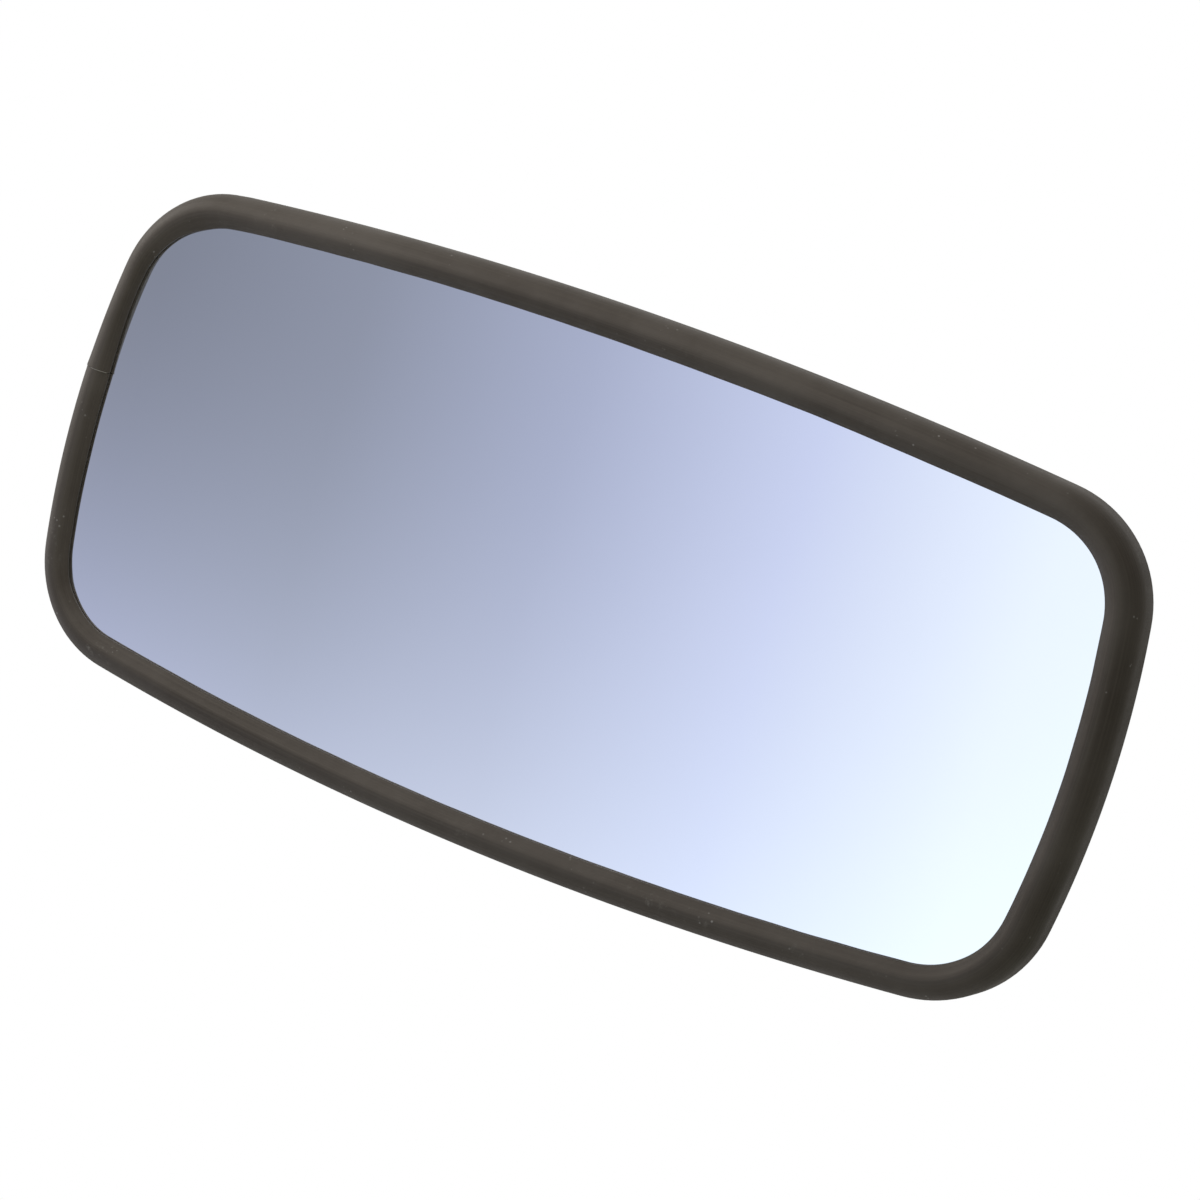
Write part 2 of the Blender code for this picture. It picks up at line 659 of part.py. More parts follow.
def build_wall_side():
    """The wall plate with its four screw holes, and the yoke that is welded to it."""
    outline = rounded_rectangle(PLATE_HALF_WIDTH, PLATE_HALF_HEIGHT, PLATE_CORNER_RADIUS)
    plate = skin(bmesh.new(), [[(x, y, z) for x, z in outline] for y in (-PLATE_THICKNESS, 0)])
    wall_plate = add_object("wall_plate", plate, "bracket_paint")
    holes = bmesh.new()
    reach_x = PLATE_HALF_WIDTH - PLATE_HOLE_MARGIN
    reach_z = PLATE_HALF_HEIGHT - PLATE_HOLE_MARGIN
    ring = circle(PLATE_HOLE_RADIUS, 0)
    ends = (-PLATE_THICKNESS - OVERRUN, OVERRUN)
    for x, z in ((-reach_x, reach_z), (reach_x, reach_z), (-reach_x, -reach_z), (reach_x, -reach_z)):
        skin(holes, [[(x + px, y, z + pz) for px, pz, _ in ring] for y in ends])
    combine(wall_plate, add_cutter("plate_holes", holes), "DIFFERENCE")
    yoke("wall_yoke", "bracket_paint", WALL_YOKE_THICKNESS, WALL_YOKE_HALF_LENGTH,
         WALL_YOKE_STANDOFF, None, (0, -PLATE_THICKNESS - GAP, 0), HEAD_TO_WALL)


def main():
    clear_scene()
    pan_place = (0, PAN_AXIS_Y, 0)
    pan = pivot("pan_pivot", pan_place)
    tilt = pivot("tilt_pivot", (0, -ARM_REACH, 0), pan)
    build_wall_side()
    build_arm(pan)
    build_head(tilt)
    pivot_set("pan", WALL_YOKE_THICKNESS, None, pan_place, UPSIDE_DOWN)
    pivot_set("tilt", HEAD_YOKE_THICKNESS, tilt, (0, 0, 0), ALONG_X)


main()
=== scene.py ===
import math

import bmesh
import bpy
from mathutils import Matrix, Quaternion, Vector, noise


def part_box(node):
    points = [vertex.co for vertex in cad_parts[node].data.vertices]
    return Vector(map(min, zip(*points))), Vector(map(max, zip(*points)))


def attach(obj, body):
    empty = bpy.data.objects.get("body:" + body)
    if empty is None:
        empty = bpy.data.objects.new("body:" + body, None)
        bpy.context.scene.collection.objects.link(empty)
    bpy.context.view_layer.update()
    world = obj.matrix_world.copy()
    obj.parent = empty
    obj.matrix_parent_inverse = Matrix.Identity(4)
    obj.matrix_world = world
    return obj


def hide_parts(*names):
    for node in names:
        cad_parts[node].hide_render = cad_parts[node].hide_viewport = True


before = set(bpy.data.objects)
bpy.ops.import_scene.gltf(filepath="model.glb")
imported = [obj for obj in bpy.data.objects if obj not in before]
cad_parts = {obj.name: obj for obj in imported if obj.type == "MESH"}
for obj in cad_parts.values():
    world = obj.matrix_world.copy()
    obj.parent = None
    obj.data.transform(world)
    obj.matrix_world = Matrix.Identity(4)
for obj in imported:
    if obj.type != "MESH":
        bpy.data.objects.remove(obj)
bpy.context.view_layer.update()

# Clearance left between pieces that touch on the real object.
GAP = 0.0003

# Mirror head: outline over the rubber.
HEAD_WIDTH = 0.406
HEAD_HEIGHT = 0.193
LONG_SIDE_RADIUS = 1.587
SHORT_SIDE_RADIUS = 0.357
CORNER_RADIUS = 0.0417

# Glass: a spherical cap, ground round its edge.  INNERMOST_RING is in steps from ring to ring.
GLASS_RADIUS = 1.5
GLASS_THICKNESS = 0.003
GLASS_INSET = 0.0056
GLASS_EDGE_BEVEL = 0.0005
GLASS_RINGS = 26
INNERMOST_RING = 0.35

# Rubber edge strip, measured inward from the outline and backward from the glass face.
STRIP_WIDTH = 0.0118
CREST_INSET = 0.0066
CREST_HEIGHT = 0.0052
LIP_THICKNESS = 0.0011
LIP_REST = 0.00005
SHOULDER_DEPTH = 0.0040
FLANK_DEPTH = 0.0118
REAR_LIP_WIDTH = 0.0095
REAR_LIP_THICKNESS = 0.0018
LEG_THICKNESS = 0.0022
LEG_DEPTH = 0.0036
SECTION_STEPS = 12
SECTION_CORNER_RADIUS = 0.0004

# How the lip strays from its line: waves all round, and what the photo shows at the left end.
LIP_WAVE = 0.00022
LIP_RIPPLE = 0.00010
LIP_CORNER_CUT = 0.00100
LIP_CORNER_RISE = 0.00055
LIP_LEFT_BULGE = 0.00190
LIP_KINK = 0.00100

# The strip's butt joint: its gap, the swelling beside it and the bead of adhesive in it.
JOINT_GAP = 0.00016
JOINT_SWELL = 0.00018
JOINT_SWELL_REACH = 0.003
JOINT_BEAD_PROUD = 0.00014
JOINT_BEAD_SUNK = 0.00030
JOINT_BEAD_DEPTH = 0.0007
JOINT_BEAD_SHARE = 0.62

# How much the rubber is scuffed everywhere, at the bottom and at the left, and is spared at the right.
RUB_ANYWHERE = 0.12
RUB_BOTTOM = 0.6
RUB_LEFT = 0.4
RUB_SPARED_RIGHT = 0.85
RUB_GAIN = 2.6
# Draw lines: how finely their noise is stretched along the strip, round its section and not at all.
DRAW_STRETCH = (7.0, 1500.0, 1.0)

# Pressed back shell and what is behind the glass.  SEAT_SHARES close the seat towards its middle.
SHELL_INSET = 0.0015
SHELL_WALL = 0.001
SHELL_DEPTH = 0.042
SEAT_HALF_WIDTH = 0.054
SEAT_HALF_HEIGHT = 0.037
SHELL_END_ROUNDNESS = 0.55
SHELL_SIDE_ROUNDNESS = 0.30
SHELL_STEPS = 44
SHELL_BEAD_DEPTH = 0.0009
SHELL_BEAD_TURN = 1.30
SHELL_BEAD_SPREAD = 0.05
SEAT_SHARES = (0.94, 0.86, 0.6, 0.3)
FOAM_THICKNESS = 0.008
FOAM_INSET = 0.014
FOAM_EDGE_BEVEL = 0.0012
FOAM_RINGS = 12
GLUE_LINE = 0.0009
STIFFENER_THICKNESS = 0.002
STIFFENER_HALF_WIDTH = 0.044
STIFFENER_HALF_HEIGHT = 0.030
STIFFENER_CORNER_RADIUS = 0.006

# Studs, washers and nuts that hold the yoke to the shell.
STUD_RADIUS = 0.0025
STUD_PITCH = 0.0008
STUD_HEAD_RADIUS = 0.0045
STUD_HEAD_HEIGHT = 0.0015
STUD_HALF_SPACING_X = 0.011
STUD_HALF_SPACING_Z = 0.0215
STUD_WASHER_RADIUS = 0.005
STUD_WASHER_THICKNESS = 0.001
STUD_NUT_FLATS = 0.008
STUD_NUT_HEIGHT = 0.004
STUD_TIP = 0.0015
STUD_STEPS = 32

# Pivot bolts and what is on them.  CHAMFER is the small softened edge of turned and flat parts.
BOLT_RADIUS = 0.004
BOLT_PITCH = 0.00125
BOLT_THREAD = 0.019
BOLT_HEAD_FLATS = 0.013
BOLT_HEAD_HEIGHT = 0.0053
BOLT_TIP = 0.003
WASHER_RADIUS = 0.008
WASHER_THICKNESS = 0.0016
SPRING_WASHER_RADIUS = 0.0072
SPRING_WASHER_THICKNESS = 0.002
WING_HUB_RADIUS = 0.0075
WING_HUB_TOP_RADIUS = 0.0060
WING_HUB_HEIGHT = 0.0095
WING_HUB_COLLAR = 0.0028
WING_SPAN = 0.017
WING_RISE = 0.0165
WING_THICKNESS = 0.0034
WING_TIP_RADIUS = 0.005
WING_UNDERSIDE = 0.0018
WING_VOXEL = 0.00042
CHAMFER = 0.0003

# Arm and its plastic bushes.
ARM_REACH = 0.110
BARREL_RADIUS = 0.011
BARREL_LENGTH = 0.036
BUSH_WALL = 0.0019
BUSH_FLANGE = 0.0015
BUSH_LENGTH = 0.012
ARM_HALF_WIDTH = 0.0075
ARM_HALF_HEIGHT = 0.0090
ARM_EDGE_RADIUS = 0.004
ARM_WAIST = 0.18
ARM_VOXEL = 0.0008

# Yokes and wall plate.
HEAD_YOKE_THICKNESS = 0.0025
HEAD_YOKE_HALF_LENGTH = 0.029
HEAD_YOKE_STANDOFF = 0.020
WALL_YOKE_THICKNESS = 0.003
WALL_YOKE_HALF_LENGTH = 0.020
WALL_YOKE_STANDOFF = 0.0247
EAR_HALF_WIDTH = 0.0135
BEND_RADIUS = 0.002
PLATE_HALF_WIDTH = 0.045
PLATE_HALF_HEIGHT = 0.035
PLATE_THICKNESS = 0.003
PLATE_CORNER_RADIUS = 0.008
PLATE_HOLE_RADIUS = 0.0033
PLATE_HOLE_MARGIN = 0.010
WELD_RADIUS = 0.0019
WELD_HALF_LENGTH = 0.0150
WELD_STEPS = 90
WELD_RIPPLES = 15
PLATE_EDGE_BEVEL = 0.0005
YOKE_EDGE_BEVEL = 0.00045

# How far a cutting helper runs past what it cuts.
OVERRUN = 0.005

# Steps round the outline: a short side's half, a corner and a long side's half.  Then round a circle.
SIDE_STEPS = 24
CORNER_STEPS = 22
LONG_STEPS = 48
ROUND_STEPS = 48

# Degrees: edges that turn less than the first are shaded smooth, those beyond the second bevelled.
SMOOTH_ANGLE = 35
BEVEL_ANGLE = 40

# Worked out from the values above.
BUSH_BORE = BOLT_RADIUS + GAP
BUSH_RADIUS = BUSH_BORE + BUSH_WALL
ARM_BORE = BUSH_RADIUS + GAP
EAR_HALF_GAP = BARREL_LENGTH / 2 + GAP + BUSH_FLANGE + GAP
SEAT_BACK = SHELL_DEPTH + GAP
YOKE_BACK = SEAT_BACK + HEAD_YOKE_THICKNESS
APEX_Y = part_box("mirror_glass")[0].y
PAN_AXIS_Y = -(PLATE_THICKNESS + GAP + WALL_YOKE_THICKNESS + WALL_YOKE_STANDOFF)
TILT_AXIS_Y = PAN_AXIS_Y - ARM_REACH

UP = Matrix.Identity(4)
ALONG_X = Matrix.Rotation(math.pi / 2, 4, "Y")
ALONG_Y = Matrix.Rotation(-math.pi / 2, 4, "X")
UPSIDE_DOWN = Matrix.Rotation(math.pi, 4, "X")
HEAD_TO_WALL = Matrix.Rotation(math.pi, 4, "Z")
TO_HEAD = Matrix.Translation((0, APEX_Y, 0))
TO_PAN = Matrix.Translation((0, PAN_AXIS_Y, 0))
TO_TILT = Matrix.Translation((0, TILT_AXIS_Y, 0))

# Camera: where it stands from the middle of the glass, where it aims and how far it leans.
CAMERA_AZIMUTH = 24.49
CAMERA_ELEVATION = 8.09
CAMERA_DISTANCE = 1.348
CAMERA_AIM = Vector((0.0230, APEX_Y, 0.0011))
CAMERA_ROLL = 17.3
CAMERA_LENS = 120
CAMERA_SENSOR = 36


# ---- points and rings

def arc(centre, radius, start, end, steps):
    """Points along an arc, angles in degrees, both ends included."""
    turns = [math.radians(start + (end - start) * i / steps) for i in range(steps + 1)]
    return [(centre[0] + radius * math.cos(t), centre[1] + radius * math.sin(t)) for t in turns]


def rounded_rectangle(half_width, half_height, radius, steps=8):
    x = half_width - radius
    y = half_height - radius
    points = []
    for start, centre in ((0, (x, y)), (90, (-x, y)), (180, (-x, -y)), (270, (x, -y))):
        points += arc(centre, radius, start, start + 90, steps)
    return points


def polar(radius, turn, height):
    return (radius * math.cos(turn), radius * math.sin(turn), height)


def circle(radius, height, steps=ROUND_STEPS):
    """Points round a circle at one height on the Z axis."""
    return [polar(radius, 2 * math.pi * i / steps, height) for i in range(steps)]


def softened(corners, radius, steps=4):
    """A closed outline of 2-D corners with each sharp one replaced by a small arc."""
    points = []
    count = len(corners)
    for i, corner in enumerate(corners):
        here = Vector(corner)
        before = Vector(corners[i - 1]) - here
        after = Vector(corners[(i + 1) % count]) - here
        bend = math.pi - before.angle(after)
        reach = min(radius * math.tan(bend / 2), before.length * 0.45, after.length * 0.45)
        if bend < math.radians(25):
            points.append(tuple(here))
            continue
        start = here + before.normalized() * reach
        end = here + after.normalized() * reach
        for k in range(steps + 1):
            t = k / steps
            points.append(tuple(start * (1 - t) ** 2 + here * 2 * t * (1 - t) + end * t ** 2))
    return points


def outline_stations():
    """The head's outline with its outward directions, anticlockwise from the right-hand middle.

    Each side is an arc that bows outward, and a corner arc is tangent to both its neighbours.
    A parallel outline at any inset is a point less the inset times its direction.
    """
    long_centre = Vector((0.0, HEAD_HEIGHT / 2 - LONG_SIDE_RADIUS))
    side_centre = Vector((HEAD_WIDTH / 2 - SHORT_SIDE_RADIUS, 0.0))
    apart = side_centre - long_centre
    reach_long = LONG_SIDE_RADIUS - CORNER_RADIUS
    reach_side = SHORT_SIDE_RADIUS - CORNER_RADIUS
    span = apart.length
    along = (reach_long ** 2 - reach_side ** 2 + span ** 2) / (2 * span)
    across = math.sqrt(reach_long ** 2 - along ** 2)
    unit = apart / span
    corner = long_centre + along * unit + across * Vector((unit.y, -unit.x))
    side_end = math.atan2(corner.y, corner.x - side_centre.x)
    long_end = math.atan2(corner.y - long_centre.y, corner.x)
    quarter = []
    for centre, radius, start, end, steps in (
        (side_centre, SHORT_SIDE_RADIUS, 0.0, side_end, SIDE_STEPS),
        (corner, CORNER_RADIUS, side_end, long_end, CORNER_STEPS),
        (long_centre, LONG_SIDE_RADIUS, long_end, math.pi / 2, LONG_STEPS),
    ):
        for i in range(steps):
            turn = start + (end - start) * i / steps
            way = Vector((math.cos(turn), math.sin(turn)))
            quarter.append((centre + way * radius, way))
    quarter.append((Vector((0.0, HEAD_HEIGHT / 2)), Vector((0.0, 1.0))))
    stations = []
    for sx, sz in ((1, 1), (-1, 1), (-1, -1), (1, -1)):
        part = quarter[:-1] if sx == sz else quarter[:0:-1]
        stations += [(Vector((p.x * sx, p.y * sz)), Vector((n.x * sx, n.y * sz))) for p, n in part]
    return stations


STATIONS = outline_stations()


def bowed_outline(inset):
    return [(p.x - n.x * inset, p.y - n.y * inset) for p, n in STATIONS]


def sag(x, z):
    """How far the glass face has fallen back from its middle at one place."""
    return GLASS_RADIUS - math.sqrt(GLASS_RADIUS ** 2 - x * x - z * z)


def dished_ring(points, shrink, depth):
    """A scaled outline that lies a set depth behind the glass face."""
    return [(x * shrink, sag(x * shrink, z * shrink) + depth, z * shrink) for x, z in points]


# ---- meshes and pieces

def skin(bm, rings, closed=False, caps=(True, True)):
    """Join rings of equally many points with quads, and close the first and last rings."""
    loops = [[bm.verts.new(point) for point in ring] for ring in rings]
    pairs = list(zip(loops, loops[1:]))
    if closed:
        pairs.append((loops[-1], loops[0]))
    for near, far in pairs:
        for i in range(len(near)):
            j = (i + 1) % len(near)
            bm.faces.new((near[i], near[j], far[j], far[i]))
    if not closed:
        if caps[0]:
            bm.faces.new(loops[0])
        if caps[1]:
            bm.faces.new(loops[-1])
    return bm


def lathe(profile, closed=False, steps=ROUND_STEPS):
    """A solid turned about Z from (radius, height) points."""
    return skin(bmesh.new(), [circle(r, z, steps) for r, z in profile], closed=closed)


def ring_mesh(outer, inner, low, high, edge, steps=ROUND_STEPS):
    """A washer about Z with softened edges."""
    corners = [(inner, low), (outer, low), (outer, high), (inner, high)]
    return lathe(softened(corners, edge, 3), closed=True, steps=steps)


def prism(outline, low, high):
    """An outline of (x, y) points extruded along Z."""
    return skin(bmesh.new(), [[(x, y, z) for x, y in outline] for z in (low, high)])


def slab(outline, low, high):
    """An outline of (x, z) points extruded along Y."""
    return skin(bmesh.new(), [[(x, y, z) for x, z in outline] for y in (low, high)])


def pin(radius, low, high, y=0.0):
    return prism([(px, py + y) for px, py, _ in circle(radius, 0)], low, high)


def block(low, high):
    (x0, y0, z0), (x1, y1, z1) = low, high
    return prism([(x0, y0), (x1, y0), (x1, y1), (x0, y1)], z0, z1)


def four_places(half_x, half_z):
    """The (x, z) places of four holes or studs, from the upper left."""
    return [(sx * half_x, sz * half_z) for sz in (1, -1) for sx in (-1, 1)]


def hole_plugs(places, radius, low, high, steps=ROUND_STEPS):
    """What round holes along Y take away at some (x, z) places."""
    bm = bmesh.new()
    for x, z in places:
        skin(bm, [[(x + px, y, z + pz) for px, pz, _ in circle(radius, 0, steps)] for y in (low, high)])
    return bm


def lift(height):
    return Matrix.Translation((0, 0, height))


def shade(mesh, angle):
    """Smooth faces, with sharp edges where they turn by more than the angle in degrees."""
    mesh.shade_smooth()
    mesh.set_sharp_from_angle(angle=math.radians(angle))


def make_object(name, bm, materials, matrix=UP, angle=SMOOTH_ANGLE):
    """A bmesh as a named object: faces pointing out, soft round sides and sharp edges."""
    bmesh.ops.transform(bm, matrix=matrix, verts=bm.verts)
    bmesh.ops.recalc_face_normals(bm, faces=bm.faces)
    mesh = bpy.data.meshes.new(name)
    bm.to_mesh(mesh)
    bm.free()
    shade(mesh, angle)
    piece = bpy.data.objects.new(name, mesh)
    bpy.context.scene.collection.objects.link(piece)
    for material in materials:
        mesh.materials.append(material)
    return piece


def modify(piece, kind, **settings):
    modifier = piece.modifiers.new(kind.lower(), kind)
    for key, value in settings.items():
        setattr(modifier, key, value)


def settle(piece, angle=None):
    """Apply the piece's modifiers, and shade it anew if an angle is given."""
    bpy.context.view_layer.update()
    graph = bpy.context.evaluated_depsgraph_get()
    mesh = bpy.data.meshes.new_from_object(piece.evaluated_get(graph))
    old = piece.data
    piece.modifiers.clear()
    piece.data = mesh
    bpy.data.meshes.remove(old)
    mesh.name = piece.name
    if angle is not None:
        shade(mesh, angle)


def combine(piece, bm, operation, matrix=UP):
    """Add or cut another closed mesh, and keep the result as the piece's own mesh."""
    helper = make_object("helper", bm, [], matrix)
    modify(piece, "BOOLEAN", operation=operation, object=helper, solver="EXACT")
    settle(piece)
    bpy.data.objects.remove(helper, do_unlink=True)


def bevel(piece, width):
    """Round the sharp edges slightly, as pressing leaves them, and keep the flat faces flat to the light."""
    limit = math.radians(BEVEL_ANGLE)
    modify(piece, "BEVEL", width=width, segments=2, limit_method="ANGLE", angle_limit=limit)
    settle(piece, SMOOTH_ANGLE)
    modify(piece, "WEIGHTED_NORMAL", keep_sharp=True)
    settle(piece)


def cast_together(piece, voxel, passes):
    """Remesh overlapping closed solids as one, and smooth it so that the junctions flow together."""
    modify(piece, "REMESH", mode="VOXEL", voxel_size=voxel)
    modify(piece, "SMOOTH", factor=0.5, iterations=passes)
    settle(piece)


def set_piece(piece, body, slot, *nodes):
    """Hang a finished piece on its CAD body, in place of its CAD nodes."""
    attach(piece, body)
    if nodes:
        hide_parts(*nodes)


def zinc_part(name, node, bm, matrix, body, angle=SMOOTH_ANGLE):
    """A plated piece that is finished once its mesh is made."""
    set_piece(make_object(name, bm, [ZINC], matrix, angle), body, "zinc_plate", node)


# ---- shader helpers

class Nodes:
    """A node tree and short ways to add nodes to it."""

    def __init__(self, tree):
        self.tree = tree

    def add(self, kind, inputs=(), **settings):
        """A node with its settings, and its inputs given as (name or number, value) pairs."""
        node = self.tree.nodes.new(kind)
        for key, value in settings.items():
            setattr(node, key, value)
        for key, value in inputs:
            self.feed(node.inputs[key], value)
        return node

    def feed(self, socket, value):
        """Give a socket a number, a colour or another node's output."""
        if isinstance(value, (int, float)):
            socket.default_value = value
        elif isinstance(value, tuple):
            socket.default_value = (*value, 1.0)
        else:
            self.tree.links.new(value, socket)

    def math(self, operation, *values):
        return self.add("ShaderNodeMath", enumerate(values), operation=operation).outputs[0]

    def span(self, source, low, high, start=0.0, end=1.0):
        """Map low..high to start..end, held at its ends."""
        names = ("Value", "From Min", "From Max", "To Min", "To Max")
        return self.add("ShaderNodeMapRange", zip(names, (source, low, high, start, end))).outputs["Result"]

    def mix(self, factor, first, second, blend="MIX"):
        """Two colours, each a tuple or a socket, by a factor."""
        inputs = (("Factor", factor), (6, first), (7, second))
        return self.add("ShaderNodeMix", inputs, data_type="RGBA", blend_type=blend).outputs[2]


class Shading(Nodes):
    """One Principled material and what its textures need."""

    def __init__(self, name, roughness=0.5, metallic=0.0):
        self.material = bpy.data.materials.new(name)
        self.material.use_nodes = True
        super().__init__(self.material.node_tree)
        self.shader = self.tree.nodes["Principled BSDF"]
        self.feed(self.shader.inputs["Roughness"], roughness)
        self.feed(self.shader.inputs["Metallic"], metallic)
        self.place = self.add("ShaderNodeTexCoord").outputs["Object"]

    def noise(self, scale, detail=3.0, roughness=0.55, source=None):
        names = ("Scale", "Detail", "Roughness", "Vector")
        values = (scale, detail, roughness, source or self.place)
        return self.add("ShaderNodeTexNoise", zip(names, values)).outputs["Fac"]

    def specks(self, scale):
        inputs = (("Scale", scale), ("Vector", self.place))
        return self.add("ShaderNodeTexVoronoi", inputs).outputs["Distance"]

    def attribute(self, name):
        return self.add("ShaderNodeAttribute", attribute_name=name).outputs["Fac"]

    def colour(self, source):
        self.feed(self.shader.inputs["Base Color"], source)

    def rough(self, source):
        self.feed(self.shader.inputs["Roughness"], source)

    def bump(self, height, distance):
        """Add relief of a real height, on top of any that is there already."""
        inputs = (("Strength", 1.0), ("Distance", distance), ("Height", height))
        node = self.add("ShaderNodeBump", inputs)
        normal = self.shader.inputs["Normal"]
        if normal.links:
            self.feed(node.inputs["Normal"], normal.links[0].from_socket)
        self.feed(normal, node.outputs["Normal"])


# ---- materials

def mirror_material():
    """Silvered glass: nearly perfect, with the faintest film."""
    made = Shading("mirror_silver", 0.02, 1.0)
    film = made.noise(9.0, 4.0, 0.6)
    made.colour(made.mix(made.span(film, 0.35, 0.7), (0.905, 0.905, 0.905), (0.892, 0.895, 0.898)))
    made.rough(made.span(film, 0.40, 0.75, 0.012, 0.030))
    return made.material


def mottled(name, roughness, cloud, first, second, grain, relief):
    """Two mottled tones over a fine grain: cloud and grain are each a noise's scale and detail."""
    made = Shading(name, roughness)
    made.colour(made.mix(made.noise(*cloud), first, second))
    made.bump(made.noise(*grain), relief)
    return made


def rubber_material():
    """Extruded rubber: lengthwise draw lines, a satin skin, dust, and pale scuffs where it is rubbed."""
    made = Shading("edge_rubber", 0.5)
    made.feed(made.shader.inputs["Specular IOR Level"], 0.24)
    made.feed(made.shader.inputs["Specular Tint"], (1.0, 0.90, 0.80))
    inputs = (("X", made.attribute("along")), ("Y", made.attribute("around")))
    lengthwise = made.add("ShaderNodeCombineXYZ", inputs).outputs["Vector"]
    stretched = made.add("ShaderNodeMapping", (("Vector", lengthwise),))
    stretched.inputs["Scale"].default_value = DRAW_STRETCH
    tone = made.mix(made.span(made.noise(26.0, 5.0, 0.6), 0.35, 0.68),
                    (0.0370, 0.0298, 0.0228), (0.0580, 0.0490, 0.0395))
    draw = made.noise(1.0, 3.0, 0.6, stretched.outputs["Vector"])
    tone = made.mix(made.span(draw, 0.42, 0.75, 0.0, 0.60), tone, (0.066, 0.055, 0.043))
    worn = made.attribute("scuff")
    patchy = made.span(made.noise(420.0, 5.0, 0.7), 0.55, 0.72)
    scuffed = made.math("MULTIPLY", worn, patchy)
    tone = made.mix(scuffed, tone, (0.135, 0.124, 0.106))
    motes = made.span(made.specks(420.0), 0.20, 0.10)
    dust = made.math("MULTIPLY", motes, made.span(made.noise(75.0, 2.0), 0.60, 0.68))
    tone = made.mix(made.math("MULTIPLY", dust, 0.45), tone, (0.30, 0.285, 0.26))
    made.colour(tone)
    haze = made.span(made.noise(60.0, 4.0, 0.6), 0.3, 0.7, 0.46, 0.58)
    made.rough(made.math("ADD", haze, made.math("MULTIPLY", scuffed, 0.15)))
    made.bump(draw, 0.00004)
    made.bump(made.noise(2200.0, 2.0, 0.5), 0.00002)
    made.bump(made.noise(180.0, 2.0), 0.00012)
    return made.material


def paint_material(name, light, shade, metal, chips):
    """Baked paint on sheet metal: orange peel, soft grime and small chips down to the metal."""
    made = Shading(name, 0.36)
    grime = made.span(made.noise(9.0, 6.0, 0.6), 0.38, 0.78)
    tone = made.mix(grime, light, shade)
    fine = made.span(made.noise(260.0, 4.0, 0.6), 0.50, 0.78, 0.0, 0.30)
    tone = made.mix(fine, tone, shade)
    chipped = made.math("MULTIPLY", made.span(made.noise(150.0, 6.0, 0.7), 0.735, 0.745),
                        made.span(made.noise(11.0, 2.0), 0.5, 0.62, 0.0, chips))
    made.colour(made.mix(chipped, tone, metal))
    made.rough(made.math("ADD", made.span(made.noise(35.0, 3.0), 0.3, 0.7, 0.28, 0.42),
                         made.math("MULTIPLY", chipped, 0.2)))
    made.bump(made.noise(520.0, 2.0, 0.5), 0.00005)
    made.bump(made.math("SUBTRACT", 1.0, chipped), 0.00008)
    return made.material


def zinc_material():
    """Bright zinc on steel: a faint cloudy passivation and fine tool marks."""
    made = Shading("zinc_plate", 0.32, 1.0)
    cloud = made.noise(130.0, 4.0, 0.6)
    tone = made.mix(made.span(cloud, 0.35, 0.65), (0.60, 0.61, 0.64), (0.70, 0.69, 0.66))
    dull = made.span(made.noise(420.0, 5.0, 0.7), 0.58, 0.74, 0.0, 0.55)
    made.colour(made.mix(dull, tone, (0.40, 0.40, 0.41)))
    made.rough(made.math("ADD", made.span(cloud, 0.3, 0.7, 0.22, 0.36), made.math("MULTIPLY", dull, 0.22)))
    made.bump(made.noise(2400.0, 2.0), 0.00003)
    return made.material


def casting_material():
    """Sand-cast aluminium: a fine grain, slight pitting and a dull sheen."""
    made = Shading("cast_arm", 0.46, 1.0)
    patch = made.span(made.noise(38.0, 5.0, 0.6), 0.35, 0.68)
    made.colour(made.mix(patch, (0.54, 0.55, 0.56), (0.66, 0.66, 0.66)))
    made.rough(made.span(made.noise(240.0, 4.0, 0.6), 0.3, 0.7, 0.38, 0.58))
    made.bump(made.noise(1150.0, 4.0, 0.65), 0.00020)
    made.bump(made.span(made.specks(300.0), 0.28, 0.10, 1.0, 0.0), 0.00012)
    return made.material


def foam_material():
    """Closed-cell foam: small cells and a matt, slightly mottled grey."""
    made = Shading("foam", 0.95)
    cells = made.specks(700.0)
    made.colour(made.mix(made.span(cells, 0.0, 0.6), (0.085, 0.085, 0.090), (0.165, 0.165, 0.170)))
    made.bump(cells, 0.00035)
    made.bump(made.noise(60.0, 3.0), 0.0004)
    return made.material


MIRROR = mirror_material()
GLASS_EDGE = mottled("ground_glass_edge", 0.30, (220.0, 3.0),
                     (0.22, 0.42, 0.36), (0.36, 0.55, 0.49), (2600.0, 2.0), 0.00005).material
MIRROR_BACK = mottled("mirror_back_paint", 0.6, (40.0, 4.0),
                      (0.17, 0.18, 0.19), (0.23, 0.24, 0.25), (900.0, 3.0), 0.00008).material
RUBBER = rubber_material()
ADHESIVE = mottled("joint_adhesive", 0.35, (900.0, 3.0),
                   (0.15, 0.135, 0.11), (0.26, 0.24, 0.20), (2200.0, 2.0), 0.00005).material
SHELL_PAINT = paint_material("shell_paint", (0.74, 0.735, 0.71),
                             (0.655, 0.645, 0.615), (0.30, 0.29, 0.28), 0.8)
BRACKET_PAINT = paint_material("bracket_paint", (0.69, 0.69, 0.675),
                               (0.61, 0.605, 0.585), (0.33, 0.32, 0.31), 1.0)
ZINC = zinc_material()
CASTING = casting_material()
NYLON = mottled("bush_plastic", 0.42, (160.0, 3.0),
                (0.020, 0.020, 0.022), (0.034, 0.034, 0.036), (3000.0, 2.0), 0.00004)
NYLON.rough(NYLON.span(NYLON.noise(300.0, 3.0), 0.3, 0.7, 0.34, 0.52))
FOAM = foam_material()


# ---- glass, foam and rubber

